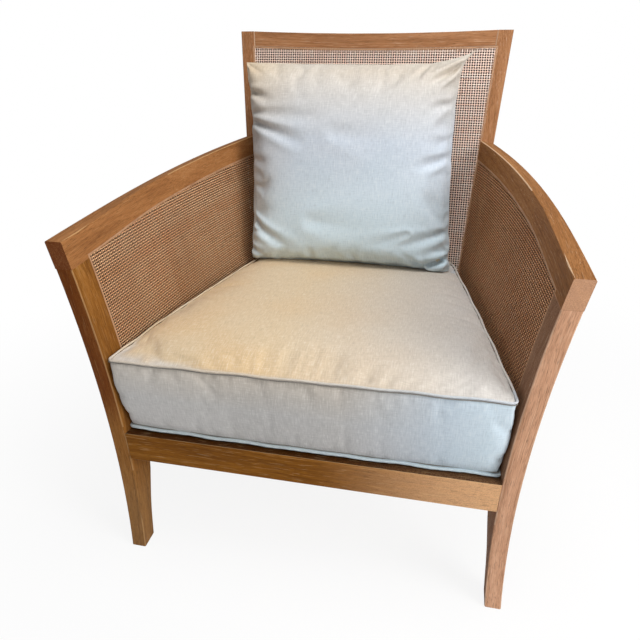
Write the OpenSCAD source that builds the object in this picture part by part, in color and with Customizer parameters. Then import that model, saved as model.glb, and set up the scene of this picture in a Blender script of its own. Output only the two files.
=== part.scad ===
// Caned armchair with a loose boxed seat cushion and a loose back pillow.
// +X is to the right as seen from the front, +Y runs to the back, +Z is up.
// The origin is on the floor, below the middle of the frame.

/* [Overall] */
// Width over the fronts of the arms
overall_w = 750; // [720:1:780]
// Depth from the front legs to the back of the rear posts
overall_d = 720; // [700:1:750]
// Height of the back's top corners
back_h = 857; // [840:1:880]
// Height of the arm's outer top edge at the front
arm_h = 611; // [600:1:625]
// Rise of the arm from the front to the rear post
arm_rise = 30; // [20:1:40]
// Height of the seat frame's top at the front
seat_h = 272; // [262:1:280]
// Backward slope of the seat, in degrees
seat_pitch = 3; // [2:0.5:4]
// Recline of the back from upright, in degrees
recline = 15; // [13:0.5:17]

/* [Front legs] */
// Thickness of a front leg, from its outer to its inner face
leg_t = 27; // [25:1:30]
// Depth of a front leg at the floor
leg_w_foot = 36; // [32:1:42]
// Depth of a front leg at the seat frame
leg_w_seat = 50; // [46:1:56]
// Depth of a front leg under the arm
leg_w_top = 50; // [46:1:56]
// How far the front feet's outer edges stand in from the arms' fronts
foot_in = 36; // [29:1:45]
// How far the curved leg bows inwards at half height
leg_bow = 20.6; // [14:0.2:24]

/* [Arms] */
// Thickness of the arm rail, from side to side
arm_t = 27; // [25:1:30]
// Height of the arm rail's section
arm_rail_h = 43; // [40:1:50]
// How far each arm comes in from its front to the rear post
arm_taper = 99; // [93:1:103]
// How far the arm's plan curve has moved in at its first third
arm_in_1 = 8.5; // [4:0.5:14]
// How far the arm's plan curve has moved in at its second third
arm_in_2 = 24; // [18:0.5:32]
// Outward bank of the arm's top face, in degrees
arm_bank = 12; // [6:1:14]

/* [Rear posts] */
// Thickness of a rear post, from side to side
post_t = 31; // [29:1:34]
// How far the back's top corners stand in from the arms' fronts
back_in = 84; // [79:1:89]
// Outward flare of the rear posts, in millimetres over each millimetre of height
post_flare = 0.075; // [0.06:0.005:0.09]
// Depth of a rear post at the top
post_w_top = 30; // [28:1:34]
// Depth of a rear post at the seat frame
post_w_seat = 48; // [44:1:54]
// Depth of a rear foot at the floor
post_w_foot = 38; // [34:1:44]
// How far the rear foot's front edge stands behind the post's lowest point of turn
rear_kick = 78; // [60:1:95]

/* [Seat frame] */
// Height of the front, side and rear rails
rail_h = 54; // [50:1:58]
// Thickness of the front, side and rear rails
rail_t = 27; // [25:1:30]
// Length of each rail's tenon
tenon_l = 18; // [14:1:20]
// Thickness of each rail's tenon
tenon_t = 9; // [7:1:11]
// Height of each rail's tenon
tenon_h = 34; // [26:1:38]
// Leg length of a corner block
block_leg = 62; // [50:1:72]
// Height of a corner block
block_h = 24; // [18:1:26]

/* [Seat slats] */
// Number of slats
slat_count = 8; // [6:1:8]
// Width of a slat, from front to back
slat_w = 44; // [36:1:48]
// Thickness of a slat
slat_t = 12; // [10:1:14]
// Side of the square cleat that carries the slats' ends
cleat = 15; // [13:1:17]
// Diameter of the screws' shanks
screw_d = 4; // [3.5:0.5:5]
// Diameter of the screws' countersunk heads
screw_head_d = 8; // [7:0.5:9]

/* [Back frame] */
// Height of the top rail's face, measured up the slope
crest_h = 36; // [32:1:42]
// How far the top rail dips between the posts
crest_dip = 5.5; // [2:0.5:8]
// Thickness of the two back rails, from front to rear
back_rail_t = 24; // [22:1:26]
// Height of the lower back rail, measured up the slope
lower_h = 40; // [34:1:46]
// Gap between the seat frame's rear rail and the lower back rail
lower_gap = 14; // [8:1:24]

/* [Caning] */
// Thickness of the woven sheet
cane_t = 1; // [0.8:0.1:1.2]
// Depth of the rebate that takes the sheet and its bead
rebate_d = 2.4; // [2.2:0.1:3]
// Width of the rebate round each caned opening
rebate_w = 6; // [5:0.5:8]
// Width of the reed bead that holds the sheet
bead_w = 3; // [2.5:0.5:4]
// How far the bead stands out of the frame's face
bead_proud = 0.15; // [0:0.05:0.15]

/* [Dowels] */
// Diameter of the dowels in the arm joints
dowel_d = 8; // [6:1:10]
// Length of a dowel
dowel_l = 34; // [28:1:38]

/* [Glides] */
// Diameter of a foot glide
glide_d = 20; // [16:1:22]
// Thickness of a foot glide's disc
glide_t = 4; // [3:0.5:5]
// How deep the glide's disc is let into the foot
glide_seat = 2.5; // [1.5:0.5:3]
// Diameter of the glide's nail
nail_d = 3; // [2:0.5:4]
// Length of the glide's nail
nail_l = 18; // [12:1:24]

/* [Seat cushion] */
// How far the cushion's front top corners stand in from the arms' fronts
cushion_in_f = 66; // [65:1:72]
// How far the cushion's rear top corners stand in from the arms' fronts
cushion_in_r = 161; // [159:1:169]
// Height of the cushion's sides, to its top welt
cushion_h = 148; // [130:1:155]
// How far the cushion's foot stands behind its top edge at the front
cushion_lean = 14; // [8:1:24]
// How far the cushion's foot is narrower than its top, on each side
cushion_tuck = 8; // [7:1:12]
// Rise of the crown over the top welt
cushion_crown = 15; // [10:1:18]
// Diameter of the piping
welt_d = 6; // [5:0.5:7]
// Rounding of the cushion's corners in plan
cushion_r = 15; // [12:1:26]
// Thickness of the cushion covers
cover_t = 2; // [1.5:0.1:2.5]

/* [Back pillow] */
// How much narrower the pillow is than the back's top
pillow_in = 120; // [107:1:142]
// Height of the pillow between its ears
pillow_h = 418; // [400:1:430]
// Thickness of the filled pillow
pillow_t = 150; // [130:1:156]
// How far the pillow's sides are drawn in between the ears
pillow_draw = 14; // [8:1:22]
// How far the pillow's middle lies to the left
pillow_shift = 16; // [0:1:18]
// How far the upper right ear is pulled out
ear_pull = 22; // [0:1:26]

/* [Hidden] */

// Clearance at glued joints and between pieces that only touch
fit = 0.2;
// Clearance round every soft piece
soft_fit = 0.5;
// Easing of the long edges of the legs and arm rails
ease = 1.6;
// Steps along a curved leg and along an arm
leg_steps = 18;
arm_steps = 16;
// The smallest number that keeps a cutter's face off a solid's face
over = 1;

front_y = -overall_d / 2;
foot_half = overall_w / 2 - foot_in;
arm_rear_half = overall_w / 2 - arm_taper;
back_half = overall_w / 2 - back_in;
// The back's front face is a plane, found from its height and recline
back_top_y = overall_d / 2 - post_w_top * cos(recline);

function lerp(a, b, t) = a + (b - a) * t;
function unit(t) = min(1, max(0, t));
function smooth(t) = unit(t) * unit(t) * (3 - 2 * unit(t));
function cubic(a, b, c, d, t) =
    a * pow(1 - t, 3) + 3 * b * t * pow(1 - t, 2) + 3 * c * t * t * (1 - t) + d * pow(t, 3);

// Plane of the back's front face, and the seat frame's sloping top
function back_y(z) = back_top_y - (back_h - z) * tan(recline);
function seat_z(y) = seat_h - tan(seat_pitch) * (y - front_y);
seat_rear_z = seat_h - tan(seat_pitch) * (back_y(seat_h - 20) - front_y);
seat_rear_y = back_y(seat_rear_z);

// Outer faces of the front leg and of the rear post at a height
function leg_x(z) = let(s = z / arm_h)
    lerp(foot_half, overall_w / 2, s) - 4 * leg_bow * s * (1 - s);
function post_x(z) = back_half - (back_h - z) * post_flare;

// Depth of the front leg at a height
leg_base_z = seat_h - rail_h;
leg_top_z = arm_h - arm_rail_h;
function leg_w(z) = z < seat_h ? lerp(leg_w_foot, leg_w_seat, smooth(z / leg_base_z))
    : lerp(leg_w_seat, leg_w_top, (z - seat_h) / (leg_top_z - seat_h));

// The side of the chair is one ruled surface: straight along the seat rail, bowed along the arm.
// s runs from the front, 0, to the rear post, 1.
foot_slope = (post_x(seat_rear_z) - leg_x(seat_h)) / (seat_rear_y - front_y);
function arm_z(s) = arm_h + arm_rise * s;
function arm_x(s) = cubic(overall_w / 2, overall_w / 2 - arm_in_1, overall_w / 2 - arm_in_2, arm_rear_half, s);
function side_y(s, z) = lerp(front_y, back_y(z) - fit, s);
function side_foot_z(s) = lerp(seat_h, seat_rear_z, s);
function side_foot_x(s, z) = leg_x(seat_h) + foot_slope * (side_y(s, min(z, side_foot_z(s))) - front_y);
function side_v(s, z) = max(0, (z - side_foot_z(s)) / (arm_z(s) - side_foot_z(s)));
function leg_curve(z, v) = leg_x(z) - lerp(leg_x(seat_h), leg_x(arm_h), v);
function side_x(s, z) = let(v = side_v(s, z))
    lerp(side_foot_x(s, z), arm_x(s), v) + (1 - smooth(s)) * leg_curve(lerp(seat_h, arm_h, v), v);
function side_slope(s, z) = (side_x(s + 0.01, z) - side_x(s - 0.01, z))
    / (side_y(s + 0.01, z) - side_y(s - 0.01, z));
// A point d inside the outer face, at right angles to it in plan
function side_pt(s, z, d) = [side_x(s, z) - d * sqrt(1 + pow(side_slope(s, z), 2)), side_y(s, z), z];

// Bank of the arm's top face, which starts level at the front
function bank(s) = tan(arm_bank) * smooth((s - 0.1) / 0.32);

// Solid through a list of closed rings with as many points each, with flat ends
module loft(rings) {
    n = len(rings[0]);
    m = len(rings);
    points = [for (ring = rings) each ring];
    sides = [for (i = [0 : m - 2], j = [0 : n - 1]) let(k = (j + 1) % n) each [
        [i * n + j, (i + 1) * n + k, i * n + k],
        [i * n + j, (i + 1) * n + j, (i + 1) * n + k]
    ]];
    ends = [[for (j = [0 : n - 1]) j], [for (j = [n - 1 : -1 : 0]) (m - 1) * n + j]];
    polyhedron(points, concat(sides, ends));
}

// The same, with each end closed by a fan of faces round its middle
module fan_loft(rings) {
    n = len(rings[0]);
    m = len(rings);
    ones = [for (p = rings[0]) 1 / n];
    points = concat([for (ring = rings) each ring], [ones * rings[0], ones * rings[m - 1]]);
    sides = [for (i = [0 : m - 2], j = [0 : n - 1]) let(k = (j + 1) % n) each [
        [i * n + j, (i + 1) * n + k, i * n + k],
        [i * n + j, (i + 1) * n + j, (i + 1) * n + k]
    ]];
    last = (m - 1) * n;
    fans = [for (j = [0 : n - 1]) let(k = (j + 1) % n) each [[m * n, j, k], [m * n + 1, last + k, last + j]]];
    polyhedron(points, concat(sides, fans));
}

// Solid ring through a closed chain of sections
module ring_loft(rings) {
    n = len(rings[0]);
    m = len(rings);
    points = [for (ring = rings) each ring];
    sides = [for (i = [0 : m - 1], j = [0 : n - 1]) let(k = (j + 1) % n, i2 = (i + 1) % m) each [
        [i * n + j, i2 * n + k, i * n + k],
        [i * n + j, i2 * n + j, i2 * n + k]
    ]];
    polyhedron(points, sides);
}

// Thin solid between two grids of points; the first grid is the outer face
module slab(top, bottom) {
    m = len(top);
    n = len(top[0]);
    half = m * n;
    points = concat([for (row = top) each row], [for (row = bottom) each row]);
    faces = [for (i = [0 : m - 2], j = [0 : n - 2])
        let(a = i * n + j, b = a + 1, c = a + n, d = c + 1) each [
            [a, b, d], [a, d, c], [a + half, d + half, b + half], [a + half, c + half, d + half]
        ]];
    rims = [for (i = [0 : m - 2]) let(a = i * n, c = a + n, b = a + n - 1, d = c + n - 1) each [
        [c, c + half, a + half], [c, a + half, a],
        [b + half, d + half, d], [b + half, d, b]
    ]];
    last = (m - 1) * n;
    edges = [for (j = [0 : n - 2]) let(a = j, b = j + 1, c = last + j, d = last + j + 1) each [
        [a + half, b + half, b], [a + half, b, a],
        [d + half, c + half, c], [d + half, c, d]
    ]];
    polyhedron(points, concat(faces, rims, edges));
}

// A point of an arm's caned opening: a runs to the rear, b upwards, d in from the outer face
sheet_gap = 0.4;
panel_rows = 8;
function panel_low(s) = side_foot_z(s) - rebate_w + sheet_gap;
function panel_high(s) = arm_z(s) - arm_rail_h + rebate_w - sheet_gap;
function panel_front_z(b) = lerp(panel_low(0.08), panel_high(0.08), b);
function panel_s0(b, more) = let(z = panel_front_z(b))
    (leg_w(z) - rebate_w + more) / (back_y(z) - front_y);
function panel_pt(a, b, d) = let(s = lerp(panel_s0(b, sheet_gap), 1, a))
    side_pt(s, lerp(panel_low(s), panel_high(s) + d * bank(s), b), d);
panel_foot_b = (rebate_w - sheet_gap) / (leg_top_z - seat_h + 2 * rebate_w);
panel_bs = [0, panel_foot_b, for (i = [1 : panel_rows]) i / panel_rows];

// Front legs: sawn to a curve in front view, deeper at the seat, flush with the side surface
foot_z = glide_t - glide_seat;
arm_slope = arm_rise / (back_y(arm_h) - front_y);
function leg_slope(z) = foot_slope * smooth((z - 60) / (leg_base_z - 60));
function leg_face_x(depth, z, d) = z < seat_h
    ? leg_x(z) + leg_slope(z) * depth - d * sqrt(1 + pow(leg_slope(z), 2))
    : side_pt(depth / (back_y(z) - front_y), z, d)[0];
function leg_point(d, depth, z) = [leg_face_x(depth, z, d), front_y + depth,
    z == leg_top_z ? z - fit + depth * arm_slope : z];
function leg_ring(z) = let(w = leg_w(z), t = leg_t) [
    leg_point(t - ease, 0, z), leg_point(ease, 0, z), leg_point(0, ease, z), leg_point(0, w - ease, z),
    leg_point(ease, w, z), leg_point(t - ease, w, z), leg_point(t, w - ease, z), leg_point(t, ease, z)
];
// The corner between two faces of a leg, d0 to d1 in from the outer face, cut back for a rebate
function leg_rebate_point(d, depth, z) = [leg_point(d, depth, max(z, seat_h))[0], front_y + depth, z];
function leg_rebate_ring(d0, d1, z) = let(w = leg_w(z)) [
    leg_rebate_point(d1, w - rebate_w, z), leg_rebate_point(d0, w - rebate_w, z),
    leg_rebate_point(d0, w + over, z), leg_rebate_point(d1, w + over, z)
];
module leg_rebate(d0, d1) {
    zs = [side_foot_z(leg_w_seat / (seat_rear_y - front_y)) - rebate_w,
        for (i = [1 : panel_rows + 1]) panel_front_z(panel_bs[i])];
    loft([for (z = zs) leg_rebate_ring(d0, d1, z)]);
}

// Side rail, straight in plan, with upright faces
function rail_x(y, d) = leg_x(seat_h) + foot_slope * (y - front_y) - d * sqrt(1 + pow(foot_slope, 2));
function rail_section(y_of_z, d0, d1, high, low) = [for (p = [[d1, high], [d0, high], [d0, low], [d1, low]])
    let(z0 = seat_h - p[1], y = y_of_z(z0), z = seat_z(y) - p[1]) [rail_x(y, p[0]), y, z]];
rail_front_y = front_y + leg_w_seat + fit;
function rail_rear_y(z0) = back_y(z0 - (seat_h - seat_rear_z)) - fit;
module rail_strip(d0, d1, high, low, more) {
    loft([
        rail_section(function(z0) rail_front_y - more, d0, d1, high, low),
        rail_section(function(z0) rail_rear_y(z0) + more, d0, d1, high, low)
    ]);
}

// Tenons, as boxes that the rails add and the legs take away
function rail_mid_z(y) = seat_z(y) - rail_h / 2;
module tenon(centre, size, grow) {
    translate(centre) cube([for (n = size) n + 2 * grow], center = true);
}
front_rail_y = front_y + rail_t / 2;
front_rail_end = leg_x(leg_base_z) - leg_t;
module front_tenon(grow) {
    tenon([front_rail_end + tenon_l / 2 - 2, front_rail_y, rail_mid_z(front_rail_y)],
        [tenon_l + 4, tenon_t, tenon_h], grow);
}
module side_tenon_front(grow) {
    y = rail_front_y - tenon_l / 2 + 2;
    tenon([rail_x(rail_front_y, rail_t / 2), y, rail_mid_z(rail_front_y)],
        [tenon_t, tenon_l + 4, tenon_h], grow);
}
rear_joint_z = rail_mid_z(seat_rear_y);
module side_tenon_rear(grow) {
    y = back_y(rear_joint_z);
    tenon([rail_x(y, rail_t / 2), y + tenon_l / 2 - 4, rear_joint_z],
        [tenon_t, tenon_l + 8, tenon_h], grow);
}
rear_rail_y = back_y(seat_rear_z - rail_h) + post_w_seat / cos(recline) - rail_t / 2 - 1;
module rear_tenon(grow) {
    tenon([post_x(rear_joint_z) - post_t + tenon_l / 2 - 3, rear_rail_y + 2, rear_joint_z],
        [tenon_l + 6, tenon_t, tenon_h], grow);
}

// Dowels: two stand across each joint of front post and arm, two across each joint of arm and rear post
module leg_dowels(d, l) {
    for (depth = [13, leg_w_top - 13])
        translate([leg_face_x(depth, leg_top_z, leg_t / 2), front_y + depth, leg_top_z + depth * arm_slope])
            cylinder(h = l, d = d, center = true, $fn = 32);
}
module post_dowels(d, l) {
    for (drop = [13, arm_rail_h - 13]) {
        z = arm_z(1) - drop;
        translate([side_pt(0.98, z, arm_t / 2)[0], back_y(z), z])
            rotate([90 - recline, 0, 0])
            cylinder(h = l, d = d, center = true, $fn = 32);
    }
}

// Rear posts: straight and reclined above the seat, swept back below it
knee_z = seat_rear_z - rail_h;
knee_y = back_y(knee_z);
function post_front(z) = z > knee_z ? back_y(z)
    : cubic(knee_y + rear_kick, knee_y + rear_kick - 0.15 * knee_z, knee_y - tan(recline) * knee_z / 3,
        knee_y, z / knee_z);

// A foot glide: a disc let into the foot, with its nail
module glide(grow) {
    cylinder(h = glide_t + grow, d = glide_d + 2 * grow, $fn = 48);
    cylinder(h = glide_t + nail_l + grow, d = nail_d + 2 * grow, $fn = 24);
}
front_glide = [leg_x(0) - leg_t / 2, front_y + leg_w_foot / 2, 0];
rear_glide = [post_x(0) - post_t / 2, post_front(foot_z) + post_w_foot / 2, 0];

module front_leg() {
    color("peru") difference() {
        loft([for (i = [0 : leg_steps]) leg_ring(lerp(foot_z, leg_top_z, i / leg_steps))]);
        front_tenon(fit);
        side_tenon_front(fit);
        leg_dowels(dowel_d + 2 * fit, dowel_l + 2 * fit);
        leg_rebate(leg_t - rebate_d, leg_t + 2 * over);
        leg_rebate(-2 * over, rebate_d);
        translate(front_glide) glide(fit);
    }
}

function post_w(z) = z > knee_z ? lerp(post_w_seat, post_w_top, (z - knee_z) / (back_h - knee_z))
    : lerp(post_w_foot, post_w_seat, smooth(z / knee_z));
// A point on the post: d in from its outer face, and a share of the depth behind its front face.
// The top is cut square to the front face.
function post_point(d, depth, z) = let(z1 = z == back_h ? z - depth * sin(recline) : z)
    [post_x(z1) - d, z == back_h ? back_y(z) + depth * cos(recline) : post_front(z) + depth / cos(recline), z1];
function post_ring(z) = let(w = post_w(z), t = post_t) [
    post_point(t - ease, 0, z), post_point(ease, 0, z), post_point(0, ease, z), post_point(0, w - ease, z),
    post_point(ease, w, z), post_point(t - ease, w, z), post_point(t, w - ease, z), post_point(t, ease, z)
];

// The back in its own plane: w runs up the slope, depth runs behind the front face
function back_pt(x, w, depth) = [x, back_y(0) + w * sin(recline) + depth * cos(recline),
    w * cos(recline) - depth * sin(recline)];
function slope_w(z) = z / cos(recline);
function back_end(w, depth) = post_x(back_pt(0, w, depth)[2]) - post_t;
crest_w = slope_w(back_h);
lower_w = slope_w(seat_rear_z + lower_gap);
open_low = lower_w + lower_h;
open_high = crest_w - crest_h;

// A corner cut along a post's inner edge, between two depths
module post_rebate(depth0, depth1) {
    loft([for (w = [open_low - rebate_w, open_high + rebate_w])
        let(e0 = back_end(w, depth0), e1 = back_end(w, depth1)) [
        back_pt(e0 - over, w, depth0), back_pt(e0 + rebate_w, w, depth0),
        back_pt(e1 + rebate_w, w, depth1), back_pt(e1 - over, w, depth1)
    ]]);
}
module back_tenon(w, grow) {
    e = back_end(w, back_rail_t / 2);
    c = back_pt(e + tenon_l / 2 - 3, w, back_rail_t / 2);
    translate(c) rotate([-recline, 0, 0])
        cube([tenon_l + 6 + 2 * grow, tenon_t + 2 * grow, 20 + 2 * grow], center = true);
}
crest_tenon_w = crest_w - crest_h / 2 - 3;
lower_tenon_w = lower_w + lower_h / 2;

module rear_leg() {
    heights = concat([for (i = [0 : 8]) lerp(foot_z, knee_z, i / 8)],
        [for (i = [1 : 4]) lerp(knee_z, back_h, i / 4)]);
    color("peru") difference() {
        loft([for (z = heights) post_ring(z)]);
        side_tenon_rear(fit);
        rear_tenon(fit);
        back_tenon(crest_tenon_w, fit);
        back_tenon(lower_tenon_w, fit);
        post_dowels(dowel_d + 2 * fit, dowel_l + 2 * fit);
        post_rebate(-over, rebate_d);
        post_rebate(back_rail_t - rebate_d, post_w_seat + 4);
        translate(rear_glide) glide(fit);
    }
}

// Arm rails: one bowed and banked bar each, over the front post and against the rear post
function arm_point(s, d, h) = side_pt(s, arm_z(s) - h + d * bank(s), d);
function arm_ring(s) = let(t = arm_t, h = arm_rail_h) [for (p = [
    [t, ease], [t - ease, 0], [ease, 0], [0, ease], [0, h], [t, h]]) arm_point(s, p[0], p[1])];
function arm_rebate_ring(s, d0, d1) = [for (p = [
    [d1, arm_rail_h - rebate_w], [d0, arm_rail_h - rebate_w],
    [d0, arm_rail_h + over], [d1, arm_rail_h + over]]) arm_point(s, p[0], p[1])];
module arm_rebate(d0, d1) {
    s0 = panel_s0(1, 0);
    loft([for (i = [0 : arm_steps + 1]) arm_rebate_ring(i > arm_steps ? 1.01 : lerp(s0, 1, i / arm_steps), d0, d1)]);
}
module arm_rail() {
    color("peru") difference() {
        loft([for (i = [0 : arm_steps]) arm_ring(i / arm_steps)]);
        arm_rebate(-2 * over, rebate_d);
        arm_rebate(arm_t - rebate_d, arm_t + 2 * over);
        leg_dowels(dowel_d + 2 * fit, dowel_l + 2 * fit);
        post_dowels(dowel_d + 2 * fit, dowel_l + 2 * fit);
    }
}

// Slats lie across the frame on two cleats, flush with the rails' tops
slat_drop = 0.5;
slat_y0 = rail_front_y + 3;
slat_y1 = back_y(seat_rear_z - 2 * slat_t) - slat_w - 4;
slat_step = (slat_y1 - slat_y0) / (slat_count - 1);
function slat_y(i) = slat_y0 + i * slat_step;
function slat_end(y) = rail_x(y, rail_t) - 1.2;
cleat_drop = slat_drop + slat_t + fit;
function cleat_mid_z(y) = seat_z(y) - cleat_drop - cleat / 2;
screw_ys = [for (k = [0.5 : 2 : slat_count - 1]) slat_y(k)];
cleat_in = rail_t + fit + cleat;

// A countersunk screw, pointing along +Z from its head
module screw(l, grow) {
    cylinder(h = (screw_head_d - screw_d) / 2, d1 = screw_head_d + 2 * grow, d2 = screw_d + 2 * grow, $fn = 24);
    cylinder(h = l + grow, d = screw_d + 2 * grow, $fn = 24);
}
module cleat_screw_set(grow) {
    for (y = screw_ys)
        translate([rail_x(y, cleat_in) + 0.5, y, cleat_mid_z(y)]) rotate([0, 90, 0]) screw(30, grow);
}
module slat_screw_set(grow) {
    for (i = [0 : slat_count - 1])
        let(y = slat_y(i) + slat_w / 2)
        translate([rail_x(y, rail_t + fit + cleat / 2), y, seat_z(y) - slat_drop - 0.6])
            rotate([180, 0, 0]) screw(slat_t + 9, grow);
}

module side_rail() {
    color("sienna") difference() {
        union() {
            rail_strip(0, rail_t, 0, rail_h, 0);
            side_tenon_front(0);
            side_tenon_rear(0);
        }
        rail_strip(-over, rebate_d, -over, rebate_w, 2);
        rail_strip(rail_t - rebate_d, rail_t + over, -over, rebate_w, 2);
        cleat_screw_set(fit);
    }
}

module seat_cleat() {
    y0 = rail_front_y + 1;
    y1 = rail_rear_y(seat_h - rail_h / 2) - 4;
    color("burlywood") difference() {
        loft([for (y = [y0, y1]) [for (p = [[cleat, 0], [0, 0], [0, cleat], [cleat, cleat]])
            [rail_x(y, rail_t + fit + p[0]), y, seat_z(y) - cleat_drop - p[1]]]]);
        cleat_screw_set(fit);
        slat_screw_set(fit);
    }
}

module seat_slat(i) {
    y0 = slat_y(i);
    y1 = y0 + slat_w;
    loft([for (drop = [slat_drop + slat_t, slat_drop])
        [for (p = [[-1, y0], [1, y0], [1, y1], [-1, y1]])
            [p[0] * slat_end(p[1]), p[1], seat_z(p[1]) - drop]]]);
}
module seat_slats() {
    color("burlywood") difference() {
        union() for (i = [0 : slat_count - 1]) seat_slat(i);
        slat_screw_set(fit);
        mirror([1, 0, 0]) slat_screw_set(fit);
    }
}

// Front rail, flush with the legs' front faces, and rear rail, near the posts' rear faces
function front_rail_ring(drop) = [for (p = [[-1, 0], [1, 0], [1, rail_t], [-1, rail_t]])
    let(y = front_y + p[1], z = seat_z(y) - drop)
    [p[0] * (leg_face_x(p[1], min(z, seat_h - 0.01), leg_t) - fit), y, z]];
module front_rail() {
    color("sienna") difference() {
        union() {
            loft([for (i = [0 : 3]) front_rail_ring(rail_h * (1 - i / 3))]);
            front_tenon(0);
            mirror([1, 0, 0]) front_tenon(0);
        }
        block_screw_set(fit);
        mirror([1, 0, 0]) block_screw_set(fit);
    }
}
function rear_rail_ring(drop) = [for (p = [[-1, -0.5], [1, -0.5], [1, 0.5], [-1, 0.5]])
    let(y = rear_rail_y + p[1] * rail_t, z = seat_z(y) - drop) [p[0] * (post_x(z) - post_t - fit), y, z]];
module rear_rail() {
    color("sienna") difference() {
        union() {
            loft([rear_rail_ring(rail_h), rear_rail_ring(0)]);
            rear_tenon(0);
            mirror([1, 0, 0]) rear_tenon(0);
        }
        block_screw_set(fit);
        mirror([1, 0, 0]) block_screw_set(fit);
    }
}

// Glue blocks in the seat frame's corners, under the cleats
block_drop = cleat_drop + cleat + fit;
block_in = leg_x(seat_h) - leg_x(leg_base_z) + fit;
function block_line(y) = rail_x(y, rail_t) - block_in;
function front_block_plan() = let(y = front_y + rail_t + fit, x = block_line(y))
    [[x - block_leg, y], [x, y], [block_line(y + block_leg), y + block_leg]];
function rear_block_plan() = let(y = rear_rail_y - rail_t / 2 - fit, x = post_x(knee_z) - post_t - fit,
        y1 = back_y(knee_z) - 2)
    [[block_line(y - block_leg), y - block_leg], [block_line(y1), y1], [x, y1], [x, y], [x - block_leg, y]];
module block(plan) {
    loft([for (drop = [block_drop + block_h, block_drop]) [for (p = plan) [p[0], p[1], seat_z(p[1]) - drop]]]);
}
// One screw through each block into the front or the rear rail
module block_screw_set(grow) {
    yf = front_y + rail_t;
    xf = block_line(yf) - block_leg / 3;
    translate([xf, yf + 14, seat_z(yf) - block_drop - block_h / 2]) rotate([90, 0, 0]) screw(32, grow);
    yr = rear_rail_y - rail_t / 2;
    xr = post_x(knee_z) - post_t - block_leg / 3;
    translate([xr, yr - 14, seat_z(yr) - block_drop - block_h / 2]) rotate([-90, 0, 0]) screw(32, grow);
}
// The screws' heads lie at the ends of wide holes from the blocks' open sides
module block_counterbores() {
    d = screw_head_d + 2;
    yf = front_y + rail_t;
    translate([block_line(yf) - block_leg / 3, yf + 14, seat_z(yf) - block_drop - block_h / 2])
        rotate([-90, 0, 0]) cylinder(h = block_leg, d = d, $fn = 24);
    yr = rear_rail_y - rail_t / 2;
    translate([post_x(knee_z) - post_t - block_leg / 3, yr - 14, seat_z(yr) - block_drop - block_h / 2])
        rotate([90, 0, 0]) cylinder(h = block_leg, d = d, $fn = 24);
}
module corner_block_pair() {
    difference() {
        union() {
            block(front_block_plan());
            block(rear_block_plan());
        }
        block_screw_set(fit);
        block_counterbores();
    }
}

// Back rails, in the reclined plane between the posts
function bar_grid(high, low, dip, depth, more) = let(n = dip > 0 ? 12 : 1)
    [for (i = [0 : n]) let(t = 2 * i / n - 1) [for (w = [low, high])
        back_pt(t * (back_end(w, depth) - fit + more), w - dip * (1 - t * t), depth)]];
module bar(high, low, dip, depth0, depth1, more) {
    slab(bar_grid(high, low, dip, depth0, more), bar_grid(high, low, dip, depth1, more));
}
module back_top_rail() {
    color("peru") difference() {
        union() {
            bar(crest_w, open_high, crest_dip, 0, back_rail_t, 0);
            back_tenon(crest_tenon_w, 0);
            mirror([1, 0, 0]) back_tenon(crest_tenon_w, 0);
        }
        bar(open_high + rebate_w, open_high - over, crest_dip, -over, rebate_d, over);
        bar(open_high + rebate_w, open_high - over, crest_dip, back_rail_t - rebate_d, back_rail_t + over, over);
    }
}
module back_lower_rail() {
    color("peru") difference() {
        union() {
            bar(open_low, lower_w, 0, 0, back_rail_t, 0);
            back_tenon(lower_tenon_w, 0);
            mirror([1, 0, 0]) back_tenon(lower_tenon_w, 0);
        }
        bar(open_low + over, open_low - rebate_w, 0, -over, rebate_d, over);
        bar(open_low + over, open_low - rebate_w, 0, back_rail_t - rebate_d, back_rail_t + over, over);
    }
}

// Woven sheets lie on the rebates' floors, under their beads
sheet_lift = rebate_d - cane_t - fit;
bead_floor = sheet_lift - fit;
function bead_section(out, in, floor, top) = let(shy = (floor - top) * 0.25)
    [[in, floor], [in, top + shy], [(in + out) / 2, top], [out, top + shy], [out, floor]];

module arm_cane(d0, d1) {
    color("burlywood") slab(
        [for (i = [0 : arm_steps]) [for (b = panel_bs) panel_pt(i / arm_steps, b, d0)]],
        [for (i = [0 : arm_steps]) [for (b = panel_bs) panel_pt(i / arm_steps, b, d1)]]);
}
bead_a = bead_w / (seat_rear_y - front_y - leg_w_top);
bead_b = bead_w / (leg_top_z - seat_h);
arm_loop = concat(
    [for (i = [0 : arm_steps - 1]) [i / arm_steps, 0]], [for (i = [0 : panel_rows]) [1, panel_bs[i]]],
    [for (i = [0 : arm_steps - 1]) [1 - i / arm_steps, 1]], [for (i = [panel_rows + 1 : -1 : 1]) [0, panel_bs[i]]]);
function inset(q, e) = lerp(e, 1 - e, q);
module arm_bead(floor, top) {
    rings = [for (q = arm_loop) [for (k = bead_section(0, 1, floor, top))
        panel_pt(lerp(q[0], inset(q[0], bead_a), k[0]), lerp(q[1], inset(q[1], bead_b), k[0]), k[1])]];
    color("tan") ring_loft(top < floor ? rings : [for (r = rings) [for (i = [4 : -1 : 0]) r[i]]]);
}

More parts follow.
